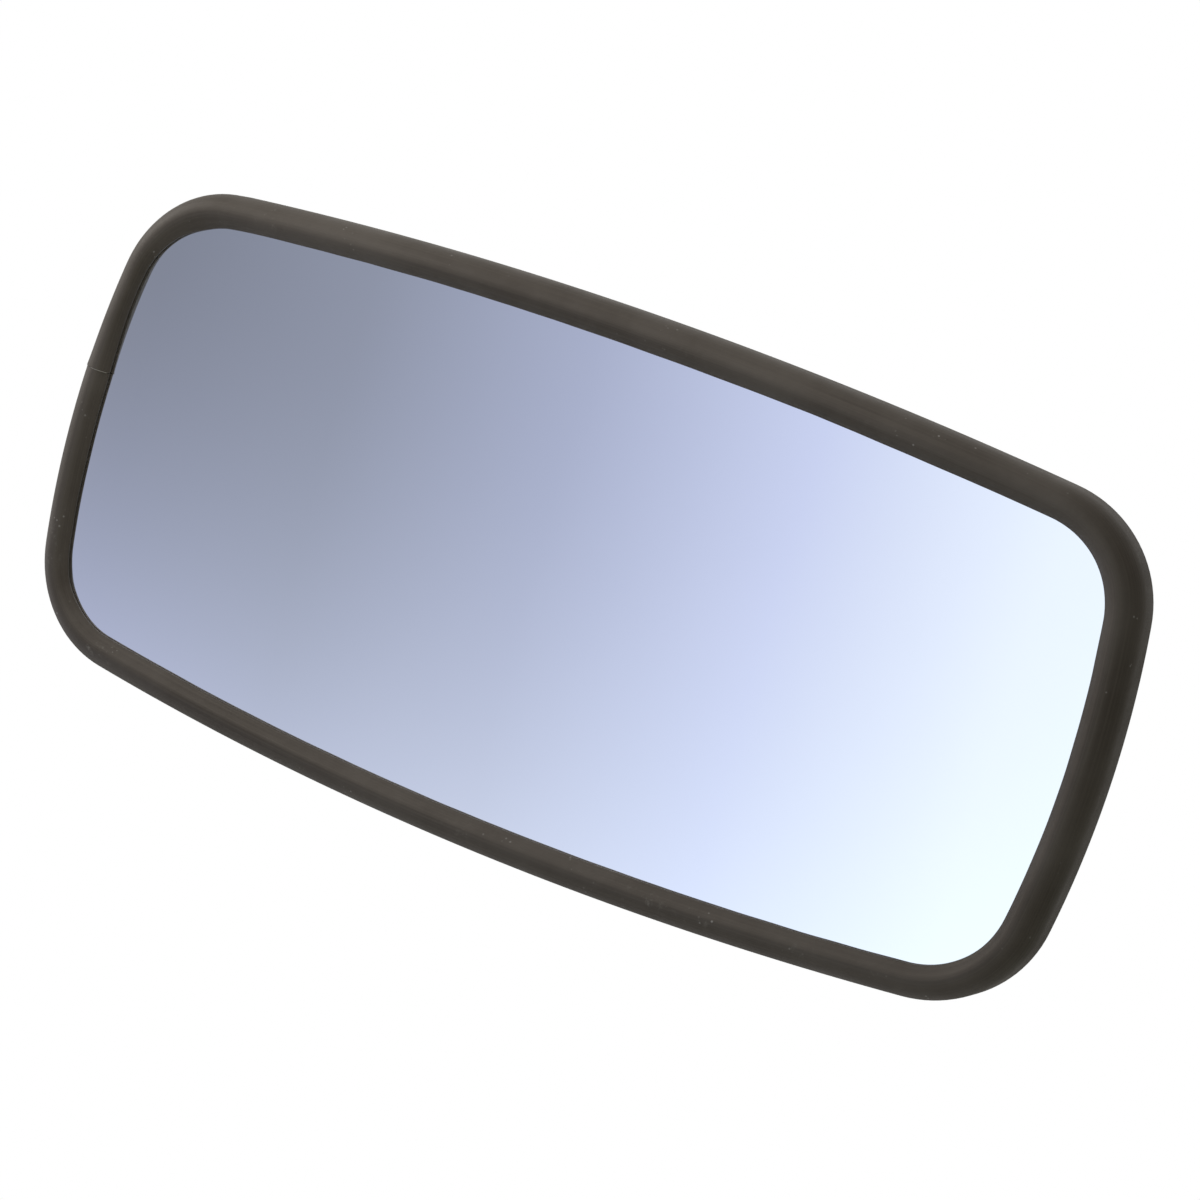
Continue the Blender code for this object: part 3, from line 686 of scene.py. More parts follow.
def dished_sheet(inset, front, back, edge_bevel, ring_count):
    """A sheet parallel to the glass face, its faces numbered 0 for front, 1 for edge and 2 for back."""
    outline = bowed_outline(inset)
    inner = bowed_outline(inset + edge_bevel)
    shares = [(i + INNERMOST_RING) / (ring_count + INNERMOST_RING) for i in range(ring_count)]
    rings = [dished_ring(inner, share, front) for share in shares]
    edge = [(inner, front), (outline, front + edge_bevel), (outline, back - edge_bevel), (inner, back)]
    rings += [dished_ring(line, 1.0, depth) for line, depth in edge]
    rings += [dished_ring(inner, share, back) for share in reversed(shares)]
    bm = skin(bmesh.new(), rings)
    bm.faces.ensure_lookup_table()
    row = len(outline)
    front_faces = row * ring_count
    edge_faces = row * 3
    for number, face in enumerate(bm.faces):
        if number < front_faces or face is bm.faces[-2]:
            face.material_index = 0
        elif number < front_faces + edge_faces:
            face.material_index = 1
        else:
            face.material_index = 2
    return bm


def build_glass():
    """The mirror sheet, whose face is shaded as the true sphere so that it reflects without facets."""
    bm = dished_sheet(GLASS_INSET, 0.0, GLASS_THICKNESS, GLASS_EDGE_BEVEL, GLASS_RINGS)
    glass = make_object("mirror_sheet", bm, [MIRROR, GLASS_EDGE, MIRROR_BACK], TO_HEAD)
    centre = Vector((0.0, APEX_Y + GLASS_RADIUS, 0.0))
    mesh = glass.data
    normals = [Vector(n.vector) for n in mesh.corner_normals]
    for face in mesh.polygons:
        if face.material_index == 0:
            for corner in face.loop_indices:
                place = mesh.vertices[mesh.loops[corner].vertex_index].co
                normals[corner] = (place - centre).normalized()
    mesh.normals_split_custom_set(normals)
    set_piece(glass, "head", "mirror_silver", "mirror_glass")


def build_foam():
    front = GLASS_THICKNESS + GLUE_LINE
    bm = dished_sheet(FOAM_INSET, front, front + FOAM_THICKNESS, FOAM_EDGE_BEVEL, FOAM_RINGS)
    for face in bm.faces:
        face.material_index = 0
    foam = make_object("foam_pad", bm, [FOAM], TO_HEAD)
    set_piece(foam, "head", "foam", "backing_foam")


def strip_section():
    """The strip's section: (inset, depth, how far the point follows the lip) round one closed outline."""
    rise = CREST_HEIGHT + SHOULDER_DEPTH
    lip_back = -LIP_REST
    lip_front = lip_back - LIP_THICKNESS
    fall = CREST_HEIGHT + lip_front
    front = []
    for i in range(SECTION_STEPS + 1):
        turn = math.pi / 2 * i / SECTION_STEPS
        front.append((CREST_INSET * (1 - math.cos(turn)), SHOULDER_DEPTH - rise * math.sin(turn)))
    for i in range(1, SECTION_STEPS + 1):
        turn = math.pi / 2 * i / SECTION_STEPS
        inset = CREST_INSET + (STRIP_WIDTH - CREST_INSET) * i / SECTION_STEPS
        front.append((inset, -CREST_HEIGHT + fall * (1 - math.cos(turn))))
    floor = GLASS_INSET - GAP
    rear = GLASS_THICKNESS + GAP
    leg_outer = SHELL_INSET + SHELL_WALL + GAP
    leg_inner = leg_outer + LEG_THICKNESS
    behind = [
        (STRIP_WIDTH, lip_back),
        (floor, lip_back),
        (floor, rear),
        (REAR_LIP_WIDTH, rear),
        (REAR_LIP_WIDTH, rear + REAR_LIP_THICKNESS),
        (leg_inner, FLANK_DEPTH + GAP),
        (leg_inner, FLANK_DEPTH + LEG_DEPTH),
        (leg_outer, FLANK_DEPTH + LEG_DEPTH),
        (leg_outer, FLANK_DEPTH),
        (0.0, FLANK_DEPTH),
    ]
    points = softened(front + behind, SECTION_CORNER_RADIUS, 3)
    section = []
    for inset, depth in points:
        share = max(0.0, (inset - CREST_INSET) / (STRIP_WIDTH - CREST_INSET))
        follows = share ** 1.5 if depth < 0 else 0.0
        section.append((inset, depth, follows))
    return section


def near(place, centre, reach):
    """1 at a place on the outline, falling smoothly to 0 over a reach."""
    return math.exp(-((place - Vector(centre)).length / reach) ** 2)


def wander(place, scale, layer):
    """Smooth noise at one place on the outline."""
    return noise.noise(Vector((place.x * scale, place.y * scale, layer)))


def lip_wander(place):
    """How far the lip's edge strays from its line at one place: (inward, up from the glass)."""
    inward = LIP_WAVE * wander(place, 21, 3.1) + LIP_RIPPLE * wander(place, 75, 8.4)
    corner_x = HEAD_WIDTH / 2 - CORNER_RADIUS * 0.55
    corner_z = HEAD_HEIGHT / 2 - CORNER_RADIUS * 0.40
    flattened = near(place, (-corner_x + 0.004, corner_z + 0.006), 0.014)
    inward += LIP_CORNER_CUT * flattened
    inward -= LIP_LEFT_BULGE * near(place, (-HEAD_WIDTH / 2 + 0.003, 0.044), 0.024)
    inward -= LIP_KINK * near(place, (-HEAD_WIDTH / 2 + 0.006, -corner_z + 0.008), 0.005)
    return inward, LIP_CORNER_RISE * flattened


def rubbed(place, follows_crest):
    """How much the rubber is scuffed at one place: most along the bottom and at the lower left."""
    low = max(0.0, -place.y / (HEAD_HEIGHT / 2)) ** 2
    left = max(0.0, -place.x / (HEAD_WIDTH / 2)) ** 3
    right = max(0.0, place.x / (HEAD_WIDTH / 2)) ** 4
    worn = RUB_ANYWHERE + RUB_BOTTOM * low + RUB_LEFT * left
    patches = max(0.0, wander(place, 46, 1.7) - 0.12)
    return min(1.0, follows_crest * worn * (1.0 - RUB_SPARED_RIGHT * right) * patches * RUB_GAIN)


def build_strip():
    """The strip swept round the head from its butt joint, on the left just above the middle."""
    section = strip_section()
    count = len(STATIONS)
    start = count // 2 - SIDE_STEPS // 4
    order = [(start - i) % count for i in range(count)] + [start]
    rings = []
    along = []
    scuff = []
    length = 0.0
    last = None
    for number, station in enumerate(order):
        point, way = STATIONS[station]
        if last is not None:
            length += (point - last).length
        last = point
        inward, raised = lip_wander(point)
        swell = JOINT_SWELL * math.exp(-length / JOINT_SWELL_REACH)
        ring = []
        for inset, depth, follows in section:
            shift = inset + inward * follows
            if inset < CREST_INSET:
                shift -= swell
            x = point.x - way.x * shift
            z = point.y - way.y * shift
            crown = swell if depth < 0 else 0.0
            ring.append(Vector((x, sag(x, z) + depth + raised * follows - crown, z)))
            on_crest = math.exp(-((inset - CREST_INSET) / 0.0028) ** 2) if depth < 0 else 0.3
            scuff.append(rubbed(point, on_crest))
        rings.append(ring)
        along += [length] * len(section)
    for ring, beside in ((rings[0], rings[1]), (rings[-1], rings[-2])):
        for point, neighbour in zip(ring, beside):
            point += (neighbour - point).normalized() * JOINT_GAP / 2
    around = [0.0]
    for (inset, depth, _), (next_inset, next_depth, _) in zip(section, section[1:]):
        around.append(around[-1] + math.hypot(next_inset - inset, next_depth - depth))
    strip = make_object("rubber_strip", skin(bmesh.new(), rings), [RUBBER], TO_HEAD, 60)
    for name, values in (("along", along), ("around", around * len(rings)), ("scuff", scuff)):
        store = strip.data.attributes.new(name, "FLOAT", "POINT")
        store.data.foreach_set("value", values)
    set_piece(strip, "head", "edge_rubber", "edge_gasket")
    build_joint(section, *STATIONS[start])


def build_joint(section, point, way):
    """The bead of adhesive in the strip's butt joint, squeezed out a little over its inner half."""
    side = Vector((way.y, -way.x))
    top = [(inset, depth) for inset, depth, _ in section if depth < -LIP_REST * 1.2]
    top = [(inset, depth) for inset, depth in top if 0.00012 < inset < STRIP_WIDTH - 0.0006]
    rings = []
    for half in (-1, 1):
        upper = []
        lower = []
        for inset, depth in top:
            proud = JOINT_BEAD_PROUD if inset > CREST_INSET * 0.85 else -JOINT_BEAD_SUNK
            flat = point - way * inset + side * half * JOINT_GAP * JOINT_BEAD_SHARE
            curved = sag(flat.x, flat.y)
            upper.append((flat.x, curved + depth - proud, flat.y))
            lower.append((flat.x, curved + depth + JOINT_BEAD_DEPTH, flat.y))
        rings.append(upper + lower[::-1])
    seam = make_object("strip_joint", skin(bmesh.new(), rings), [ADHESIVE], TO_HEAD)
    set_piece(seam, "head", "edge_rubber")


# ---- back shell

def shell_rings():
    """The shell's outer face from its mouth to its seat, with a pressed bead round the seat."""
    mouth = bowed_outline(SHELL_INSET)
    half_width = HEAD_WIDTH / 2 - SHELL_INSET
    half_height = HEAD_HEIGHT / 2 - SHELL_INSET
    wall_start = FLANK_DEPTH + GAP
    wall_end = FLANK_DEPTH + LEG_DEPTH + GAP
    straight = wall_end - FLANK_DEPTH - GAP
    rings = [dished_ring(mouth, 1.0, wall_start + straight * i / 4) for i in range(5)]
    for i in range(1, SHELL_STEPS + 1):
        turn = math.pi / 2 * i / SHELL_STEPS
        cosine = max(0.0, math.cos(turn))
        narrowing = (half_width - SEAT_HALF_WIDTH) * cosine ** SHELL_END_ROUNDNESS
        lowering = (half_height - SEAT_HALF_HEIGHT) * cosine ** SHELL_SIDE_ROUNDNESS
        wide = (SEAT_HALF_WIDTH + narrowing) / half_width
        tall = (SEAT_HALF_HEIGHT + lowering) / half_height
        flat = math.sin(turn)
        bead = SHELL_BEAD_DEPTH * math.exp(-((turn - SHELL_BEAD_TURN) / SHELL_BEAD_SPREAD) ** 2)
        ring = []
        for x, z in mouth:
            curved = sag(x, z) + wall_end
            ring.append((x * wide, curved + (SHELL_DEPTH - curved) * flat - bead, z * tall))
        rings.append(ring)
    for share in SEAT_SHARES:
        rings.append([(x * share, y, z * share) for x, y, z in rings[-1]])
    return rings


def stud_plugs(low, high):
    places = four_places(STUD_HALF_SPACING_X, STUD_HALF_SPACING_Z)
    return hole_plugs(places, STUD_RADIUS + GAP, low, high, STUD_STEPS)


def build_shell():
    bm = skin(bmesh.new(), shell_rings(), caps=(False, True))
    shell = make_object("shell_pressing", bm, [SHELL_PAINT], TO_HEAD)
    modify(shell, "SOLIDIFY", thickness=SHELL_WALL, offset=-1.0, use_even_offset=True)
    settle(shell, SMOOTH_ANGLE)
    combine(shell, stud_plugs(SHELL_DEPTH - OVERRUN, SHELL_DEPTH + OVERRUN), "DIFFERENCE", TO_HEAD)
    set_piece(shell, "head", "shell_paint", "back_shell")


def build_flat_plate(name, nodes, material, outline, depths, plugs, edge, matrix=UP):
    """A plate square to Y with holes and softened edges: nodes are its body, its slot, which is not used,
    and its CAD node.
    """
    plate = make_object(name, slab(outline, *depths), [material], matrix)
    combine(plate, plugs, "DIFFERENCE", matrix)
    bevel(plate, edge)
    set_piece(plate, *nodes)


def build_stiffener():
    back = SHELL_DEPTH - SHELL_WALL - GAP
    front = back - STIFFENER_THICKNESS
    outline = rounded_rectangle(STIFFENER_HALF_WIDTH, STIFFENER_HALF_HEIGHT, STIFFENER_CORNER_RADIUS)
    build_flat_plate("stiffener_steel", ("head", "zinc_plate", "stiffener_plate"), ZINC, outline,
                     (front, back), stud_plugs(front - OVERRUN, back + OVERRUN), CHAMFER, TO_HEAD)


# ---- fasteners

def thread_rings(radius, pitch, low, high, steps):
    """Rings of a threaded shank: the radius dips with the height and the turn, as a helix does."""
    rows = max(2, round((high - low) / (pitch / 8)))
    depth = pitch * 0.55
    rings = []
    for row in range(rows + 1):
        z = low + (high - low) * row / rows
        ring = []
        for i in range(steps):
            share = (z / pitch - i / steps) % 1.0
            dip = abs(share * 2 - 1)
            flat = min(1.0, max(0.0, dip * 1.35 - 0.12))
            r = radius - depth * (1 - flat)
            end = min(1.0, (high - z) / (pitch * 1.2) + 0.35)
            r = min(r, radius - depth * (1 - end))
            ring.append(polar(r, 2 * math.pi * i / steps, z))
        rings.append(ring)
    return rings


def hex_ring(flats, height, chamfer_to, sign):
    """A hexagon ring whose corners lie back on a 30 degree cone from the round face at one height."""
    ring = []
    for i in range(ROUND_STEPS):
        turn = 2 * math.pi * i / ROUND_STEPS
        from_flat = (turn + math.pi / 6) % (math.pi / 3) - math.pi / 6
        radius = flats / 2 / math.cos(from_flat)
        drop = max(0.0, radius - chamfer_to) * math.tan(math.radians(30))
        ring.append(polar(radius, turn, height - sign * drop))
    return ring


def bolt_mesh(reach):
    """A hexagon bolt along Z: its head lies below zero and its shank runs up to the reach."""
    land = BOLT_HEAD_FLATS / 2 * 0.97
    top = -BOLT_HEAD_HEIGHT
    rings = [
        circle(land * 0.80, top + 0.00025),
        circle(land * 0.84, top),
        circle(land, top),
        hex_ring(BOLT_HEAD_FLATS, top, land, -1),
        hex_ring(BOLT_HEAD_FLATS, -0.0005, land * 1.2, 1),
        circle(land, -0.0004),
        circle(land, 0.0),
        circle(BOLT_RADIUS + 0.0003, 0.0),
        circle(BOLT_RADIUS, 0.0004),
        circle(BOLT_RADIUS, reach - BOLT_THREAD),
    ]
    rings += thread_rings(BOLT_RADIUS, BOLT_PITCH, reach - BOLT_THREAD, reach, ROUND_STEPS)
    return skin(bmesh.new(), rings)


def nut_mesh(flats, bore, height):
    """A hexagon nut along Z from zero, chamfered on both faces and at the mouths of its bore."""
    land = flats / 2 * 0.96
    flare = 0.00035
    mouth = bore + flare
    rings = [
        circle(mouth, 0),
        circle(land, 0),
        hex_ring(flats, 0, land, -1),
        hex_ring(flats, height, land, 1),
        circle(land, height),
        circle(mouth, height),
        circle(bore, height - flare),
        circle(bore, flare),
    ]
    return skin(bmesh.new(), rings, closed=True)


def stud_mesh(head_back, reach):
    """A round-headed stud along Z, threaded where it stands out of the shell."""
    head = [
        (STUD_HEAD_RADIUS * 0.80, head_back - STUD_HEAD_HEIGHT),
        (STUD_HEAD_RADIUS * 0.97, head_back - STUD_HEAD_HEIGHT * 0.8),
        (STUD_HEAD_RADIUS, head_back - STUD_HEAD_HEIGHT * 0.4),
        (STUD_HEAD_RADIUS, head_back),
        (STUD_RADIUS, head_back),
        (STUD_RADIUS, SHELL_DEPTH),
    ]
    rings = [circle(r, z, STUD_STEPS) for r, z in head]
    rings += thread_rings(STUD_RADIUS, STUD_PITCH, SHELL_DEPTH, reach, STUD_STEPS)
    return skin(bmesh.new(), rings)


def spring_washer_mesh(outer, inner, thickness):
    """A split ring of nearly one turn about Z, with a slanting cut."""
    corners = softened([(inner, 0), (outer, 0), (outer, thickness), (inner, thickness)], 0.00025, 2)
    rings = []
    steps = 60
    for i in range(steps + 1):
        share = i / steps
        ring = []
        for r, z in corners:
            slant = math.radians(16) * (z / thickness - 0.5)
            ring.append(polar(r, math.radians(9 + 342 * share) + slant, z))
        rings.append(ring)
    return skin(bmesh.new(), rings)


def wing_outline():
    """One wing, as (x, height) points from inside the hub to its round tip and back."""
    tip = (WING_SPAN - WING_TIP_RADIUS, WING_RISE - WING_TIP_RADIUS)
    outline = [(BOLT_RADIUS / 2, WING_UNDERSIDE), (WING_HUB_RADIUS, WING_UNDERSIDE)]
    outline += arc(tip, WING_TIP_RADIUS, -40, 140, 18)
    shoulder = WING_HUB_HEIGHT - WING_UNDERSIDE
    return outline + [(WING_HUB_TOP_RADIUS, shoulder), (BOLT_RADIUS / 2, shoulder)]


def wing_nut(name, matrix):
    """A forged wing nut seated at zero on Z: hub and wings flow together, seat and bore are cut clean."""
    extra = 0.001
    nut = make_object(name, lathe([
        (WING_HUB_RADIUS, -extra),
        (WING_HUB_RADIUS, WING_HUB_COLLAR),
        (WING_HUB_TOP_RADIUS + 0.0005, WING_HUB_COLLAR + 0.0016),
        (WING_HUB_TOP_RADIUS, WING_HUB_HEIGHT + 0.0002),
    ]), [ZINC])
    upright = Matrix.Rotation(math.pi / 2, 4, "X")
    for spin in (0, math.pi):
        wing = prism(wing_outline(), -WING_THICKNESS / 2, WING_THICKNESS / 2)
        combine(nut, wing, "UNION", Matrix.Rotation(spin, 4, "Z") @ upright)
    cast_together(nut, WING_VOXEL, 9)
    cap = 0.03
    combine(nut, block((-cap, -cap, -cap), (cap, cap, 0.0)), "DIFFERENCE")
    bore = BOLT_RADIUS + GAP * 0.4
    flare = 0.0006
    cut = lathe([
        (bore + flare + OVERRUN, -OVERRUN),
        (bore, flare),
        (bore, WING_HUB_HEIGHT - 2 * flare),
        (bore + OVERRUN, WING_HUB_HEIGHT - 2 * flare + OVERRUN),
    ])
    combine(nut, cut, "DIFFERENCE")
    nut.data.transform(matrix)
    shade(nut.data, 38)
    return nut


def pivot_set(prefix, ear, matrix, body, knob_body):
    """The bolt, washers and wing nut on one pivot axis, along +Z before the turn."""
    seat = EAR_HALF_GAP + ear + GAP
    split_seat = seat + WASHER_THICKNESS + GAP
    nut_seat = split_seat + SPRING_WASHER_THICKNESS + GAP
    length = seat + nut_seat + WING_HUB_HEIGHT + BOLT_TIP
    inner = BOLT_RADIUS + GAP
    washer = ring_mesh(WASHER_RADIUS, inner, seat, seat + WASHER_THICKNESS, CHAMFER)
    split = spring_washer_mesh(SPRING_WASHER_RADIUS, inner, SPRING_WASHER_THICKNESS)
    zinc_part(prefix + "_hex_bolt", prefix + "_bolt", bolt_mesh(length), matrix @ lift(-seat), body, 32)
    zinc_part(prefix + "_flat_washer", prefix + "_washer", washer, matrix, body)
    zinc_part(prefix + "_split_washer", prefix + "_spring_washer", split, matrix @ lift(split_seat), body)
    nut = wing_nut(prefix + "_wing", matrix @ lift(nut_seat))
    set_piece(nut, knob_body, "zinc_plate", prefix + "_wing_nut")


def build_studs():
    back = SHELL_DEPTH - SHELL_WALL - GAP
    head_back = back - STIFFENER_THICKNESS - GAP
    washer_seat = YOKE_BACK + GAP
    nut_seat = washer_seat + STUD_WASHER_THICKNESS + GAP
    reach = nut_seat + STUD_NUT_HEIGHT + STUD_TIP
    inner = STUD_RADIUS + GAP
    places = four_places(STUD_HALF_SPACING_X, STUD_HALF_SPACING_Z)
    for number, (x, z) in enumerate(places, 1):
        spin = Matrix.Rotation(math.radians(17 + 41 * number), 4, "Z")
        matrix = Matrix.Translation((x, APEX_Y, z)) @ ALONG_Y @ spin
        washer_back = washer_seat + STUD_WASHER_THICKNESS
        washer = ring_mesh(STUD_WASHER_RADIUS, inner, washer_seat, washer_back, 0.0002, STUD_STEPS)
        nut = nut_mesh(STUD_NUT_FLATS, inner - 0.0002, STUD_NUT_HEIGHT)
        zinc_part(f"stud_{number}", f"yoke_stud_{number}", stud_mesh(head_back, reach), matrix, "head", 32)
        zinc_part(f"flat_washer_{number}", f"stud_washer_{number}", washer, matrix, "head")
        zinc_part(f"hex_nut_{number}", f"stud_nut_{number}", nut, matrix @ lift(nut_seat), "head", 25)


# ---- yokes, plate and arm

def yoke_section(thickness, far):
    """A U in the YZ plane, open towards +Y, with bends of even thickness: (y, z) points."""
    inner = EAR_HALF_GAP
    centre = (thickness + BEND_RADIUS, inner - BEND_RADIUS)
    inside = [(far, inner)] + arc(centre, BEND_RADIUS, 90, 180, 8)
    inside += [(y, -z) for y, z in reversed(inside)]
    below = (centre[0], -centre[1])
    outside = [(far, -inner - thickness)] + arc(below, BEND_RADIUS + thickness, 270, 180, 10)
    outside += [(y, -z) for y, z in reversed(outside)]
    return inside + outside


def yoke_trim(half_length, axis_y, start, far):
    """What is cut away beside the ears: (x, y) points of a frame open at the base."""
    ear = [(-EAR_HALF_WIDTH, start)] + arc((0, axis_y), EAR_HALF_WIDTH, 180, 0, 40)
    ear.append((EAR_HALF_WIDTH, start))
    side = half_length + OVERRUN
    end = far + OVERRUN
    return ear + [(side, start), (side, end), (-side, end), (-side, start)]


def build_yoke(name, node, body, thickness, half_length, standoff, matrix, holes=None):
    """A pressed bracket: a base with two bored ears, and holes through its base if any are given."""
    axis_y = thickness + standoff
    far = axis_y + EAR_HALF_WIDTH + OVERRUN
    reach = EAR_HALF_GAP + thickness + OVERRUN
    section = yoke_section(thickness, far)
    bm = skin(bmesh.new(), [[(x, y, z) for y, z in section] for x in (-half_length, half_length)])
    piece = make_object(name, bm, [BRACKET_PAINT])
    trim = prism(yoke_trim(half_length, axis_y, thickness + BEND_RADIUS, far), -reach, reach)
    combine(piece, trim, "DIFFERENCE")
    combine(piece, pin(BOLT_RADIUS + GAP, -reach, reach, axis_y), "DIFFERENCE")
    piece.data.transform(matrix)
    if holes:
        combine(piece, holes, "DIFFERENCE", TO_HEAD)
    bevel(piece, YOKE_EDGE_BEVEL)
    set_piece(piece, body, "bracket_paint", node)


def build_plate():
    outline = rounded_rectangle(PLATE_HALF_WIDTH, PLATE_HALF_HEIGHT, PLATE_CORNER_RADIUS)
    places = four_places(PLATE_HALF_WIDTH - PLATE_HOLE_MARGIN, PLATE_HALF_HEIGHT - PLATE_HOLE_MARGIN)
    plugs = hole_plugs(places, PLATE_HOLE_RADIUS, -PLATE_THICKNESS - OVERRUN, OVERRUN)
    build_flat_plate("plate_with_holes", ("wall_side", "bracket_paint", "wall_plate"), BRACKET_PAINT,
                     outline, (-PLATE_THICKNESS, 0), plugs, PLATE_EDGE_BEVEL)


def build_welds():
    """A rippled bead along each end of the wall yoke's base."""
    for side, name in ((-1, "weld_left"), (1, "weld_right")):
        rings = []
        for i in range(WELD_STEPS + 1):
            share = i / WELD_STEPS
            z = WELD_HALF_LENGTH * (2 * share - 1)
            taper = min(1.0, math.sqrt(max(0.0, 1 - abs(2 * share - 1) ** 6)) + 0.05)
            scale = math.sin(math.pi * ((share * WELD_RIPPLES) % 1.0))
            uneven = noise.noise(Vector((side * 3.0, z * 260, 0)))
            radius = WELD_RADIUS * taper * (0.90 + 0.10 * scale + 0.06 * uneven)
            ring = []
            for k in range(12):
                turn = 2 * math.pi * k / 12
                x = side * (WALL_YOKE_HALF_LENGTH + GAP + radius * math.cos(turn))
                y = -PLATE_THICKNESS - GAP - radius * 0.9 * math.sin(turn)
                bow = z + 0.0007 * math.sin(turn) * taper
                ring.append((x, min(y, -PLATE_THICKNESS + 0.0002), bow))
            rings.append(ring)
        bead = make_object(name, skin(bmesh.new(), rings), [BRACKET_PAINT], UP, 50)
        set_piece(bead, "wall_side", "bracket_paint")


def beam_mesh():
    """The beam between the barrels, slimmer in the middle, with its ends inside the barrels."""
    rings = []
    steps = 14
    root = BARREL_RADIUS - BUSH_WALL * 4
    for i in range(steps + 1):
        share = i / steps
        waist = 1 - ARM_WAIST * math.sin(math.pi * share)
        section = rounded_rectangle(ARM_HALF_WIDTH * waist, ARM_HALF_HEIGHT * waist, ARM_EDGE_RADIUS, 5)
        y = -root - (ARM_REACH - 2 * root) * share
        rings.append([(x, y, z) for x, z in section])
    return skin(bmesh.new(), rings)


def build_arm():
    """The casting: two barrels and a beam run together, then faced and bored."""
    half = BARREL_LENGTH / 2
    extra = 0.0012
    front = Matrix.Translation((0, -ARM_REACH, 0)) @ ALONG_X
    arm = make_object("arm_casting", pin(BARREL_RADIUS, -half - extra, half + extra), [CASTING])
    combine(arm, pin(BARREL_RADIUS, -half - extra, half + extra), "UNION", front)
    combine(arm, beam_mesh(), "UNION")
    cast_together(arm, ARM_VOXEL, 8)
    wide = BARREL_RADIUS * 1.4
    for matrix in (UP, front):
        for low, high in ((-half - 0.01, -half), (half, half + 0.01)):
            combine(arm, block((-wide, -wide, low), (wide, wide, high)), "DIFFERENCE", matrix)
        combine(arm, pin(ARM_BORE, -half - OVERRUN, half + OVERRUN), "DIFFERENCE", matrix)
    arm.data.transform(TO_PAN)
    shade(arm.data, 40)
    set_piece(arm, "arm", "cast_arm", "swivel_arm")


def build_bushes():
    """Flanged bushes, turned from one section and seated at the four ends of the barrels."""
    corners = [
        (BUSH_BORE, -BUSH_FLANGE),
        (BARREL_RADIUS, -BUSH_FLANGE),
        (BARREL_RADIUS, 0),
        (BUSH_RADIUS, 0),
        (BUSH_RADIUS, BUSH_LENGTH),
        (BUSH_BORE, BUSH_LENGTH),
    ]
    seat = lift(-BARREL_LENGTH / 2 - GAP)
    for name, node, matrix in (
        ("bush_lower", "pan_bush_lower", TO_PAN @ seat),
        ("bush_upper", "pan_bush_upper", TO_PAN @ UPSIDE_DOWN @ seat),
        ("bush_left", "tilt_bush_left", TO_TILT @ ALONG_X @ seat),
        ("bush_right", "tilt_bush_right", TO_TILT @ ALONG_X @ UPSIDE_DOWN @ seat),
    ):
        bm = lathe(softened(corners, CHAMFER, 3), closed=True)
        bush = make_object(name, bm, [NYLON.material], matrix)
        set_piece(bush, "arm", "bush_plastic", node)


# ---- studio

# The studio's sweep at the horizon: (degrees from -Y, negative towards -X, what the mirror shows of it).
SWEEP = (
    (-150, (0.800, 0.780, 0.750)),
    (-100, (1.000, 0.970, 0.930)),
    (-66, (0.300, 0.300, 0.310)),
    (-45, (0.215, 0.235, 0.300)),
    (-35, (0.269, 0.296, 0.385)),
    (-25, (0.392, 0.433, 0.595)),
    (-15, (0.585, 0.644, 0.875)),
    (-5, (0.830, 0.912, 1.045)),
    (5, (0.915, 1.030, 1.060)),
    (30, (0.480, 0.470, 0.450)),
    (60, (0.280, 0.270, 0.250)),
    (110, (0.260, 0.250, 0.235)),
)
# What each direction gains towards the floor, times the square of how far down it points.
GLOW = (
    (-45, (2.60, 2.86, 4.20)),
    (-25, (1.90, 2.08, 2.10)),
    (-5, (0.85, 1.20, 0.85)),
)
GLOW_SCALE = 5.0
GLOW_LIMIT = 0.12
MIRROR_REFLECTANCE = 0.90
# Where the front dims and to what share, by how far down and how far up a direction points.
DIM_DOWN = (0.45, 0.85, 1.0, 0.80)
DIM_UP = (0.12, 0.40, 1.0, 0.55)
# The studio behind: where it begins, where it darkens towards +X, and its colours by height.
BEHIND_RANGE = (0.10, 0.50)
BEHIND_EAST = (0.25, 0.60, 1.0, 0.15)
BEHIND_HEIGHT = (-0.6, 0.9)
BEHIND_ABOVE = (0.98, 0.96, 0.93)
BEHIND_BELOW = (0.34, 0.33, 0.31)
WHITE = (1.0, 1.0, 1.0)

# Soft boxes: name, place, width and power in watts.
SOFT_BOXES = (
    ("soft_box_above", (-0.50, -0.50, 1.40), 1.2, 5.0),
    ("soft_box_left", (-1.60, -0.40, 0.50), 0.9, 10.0),
    ("soft_box_front", (-0.30, -0.74, 0.46), 0.6, 3.0),
)

# Floor: a disc that begins to fade at one share of its radius and has gone at another.
FLOOR_HEIGHT = -1.2
FLOOR_RADIUS = 1.6
FLOOR_FADE = (0.60, 0.98)


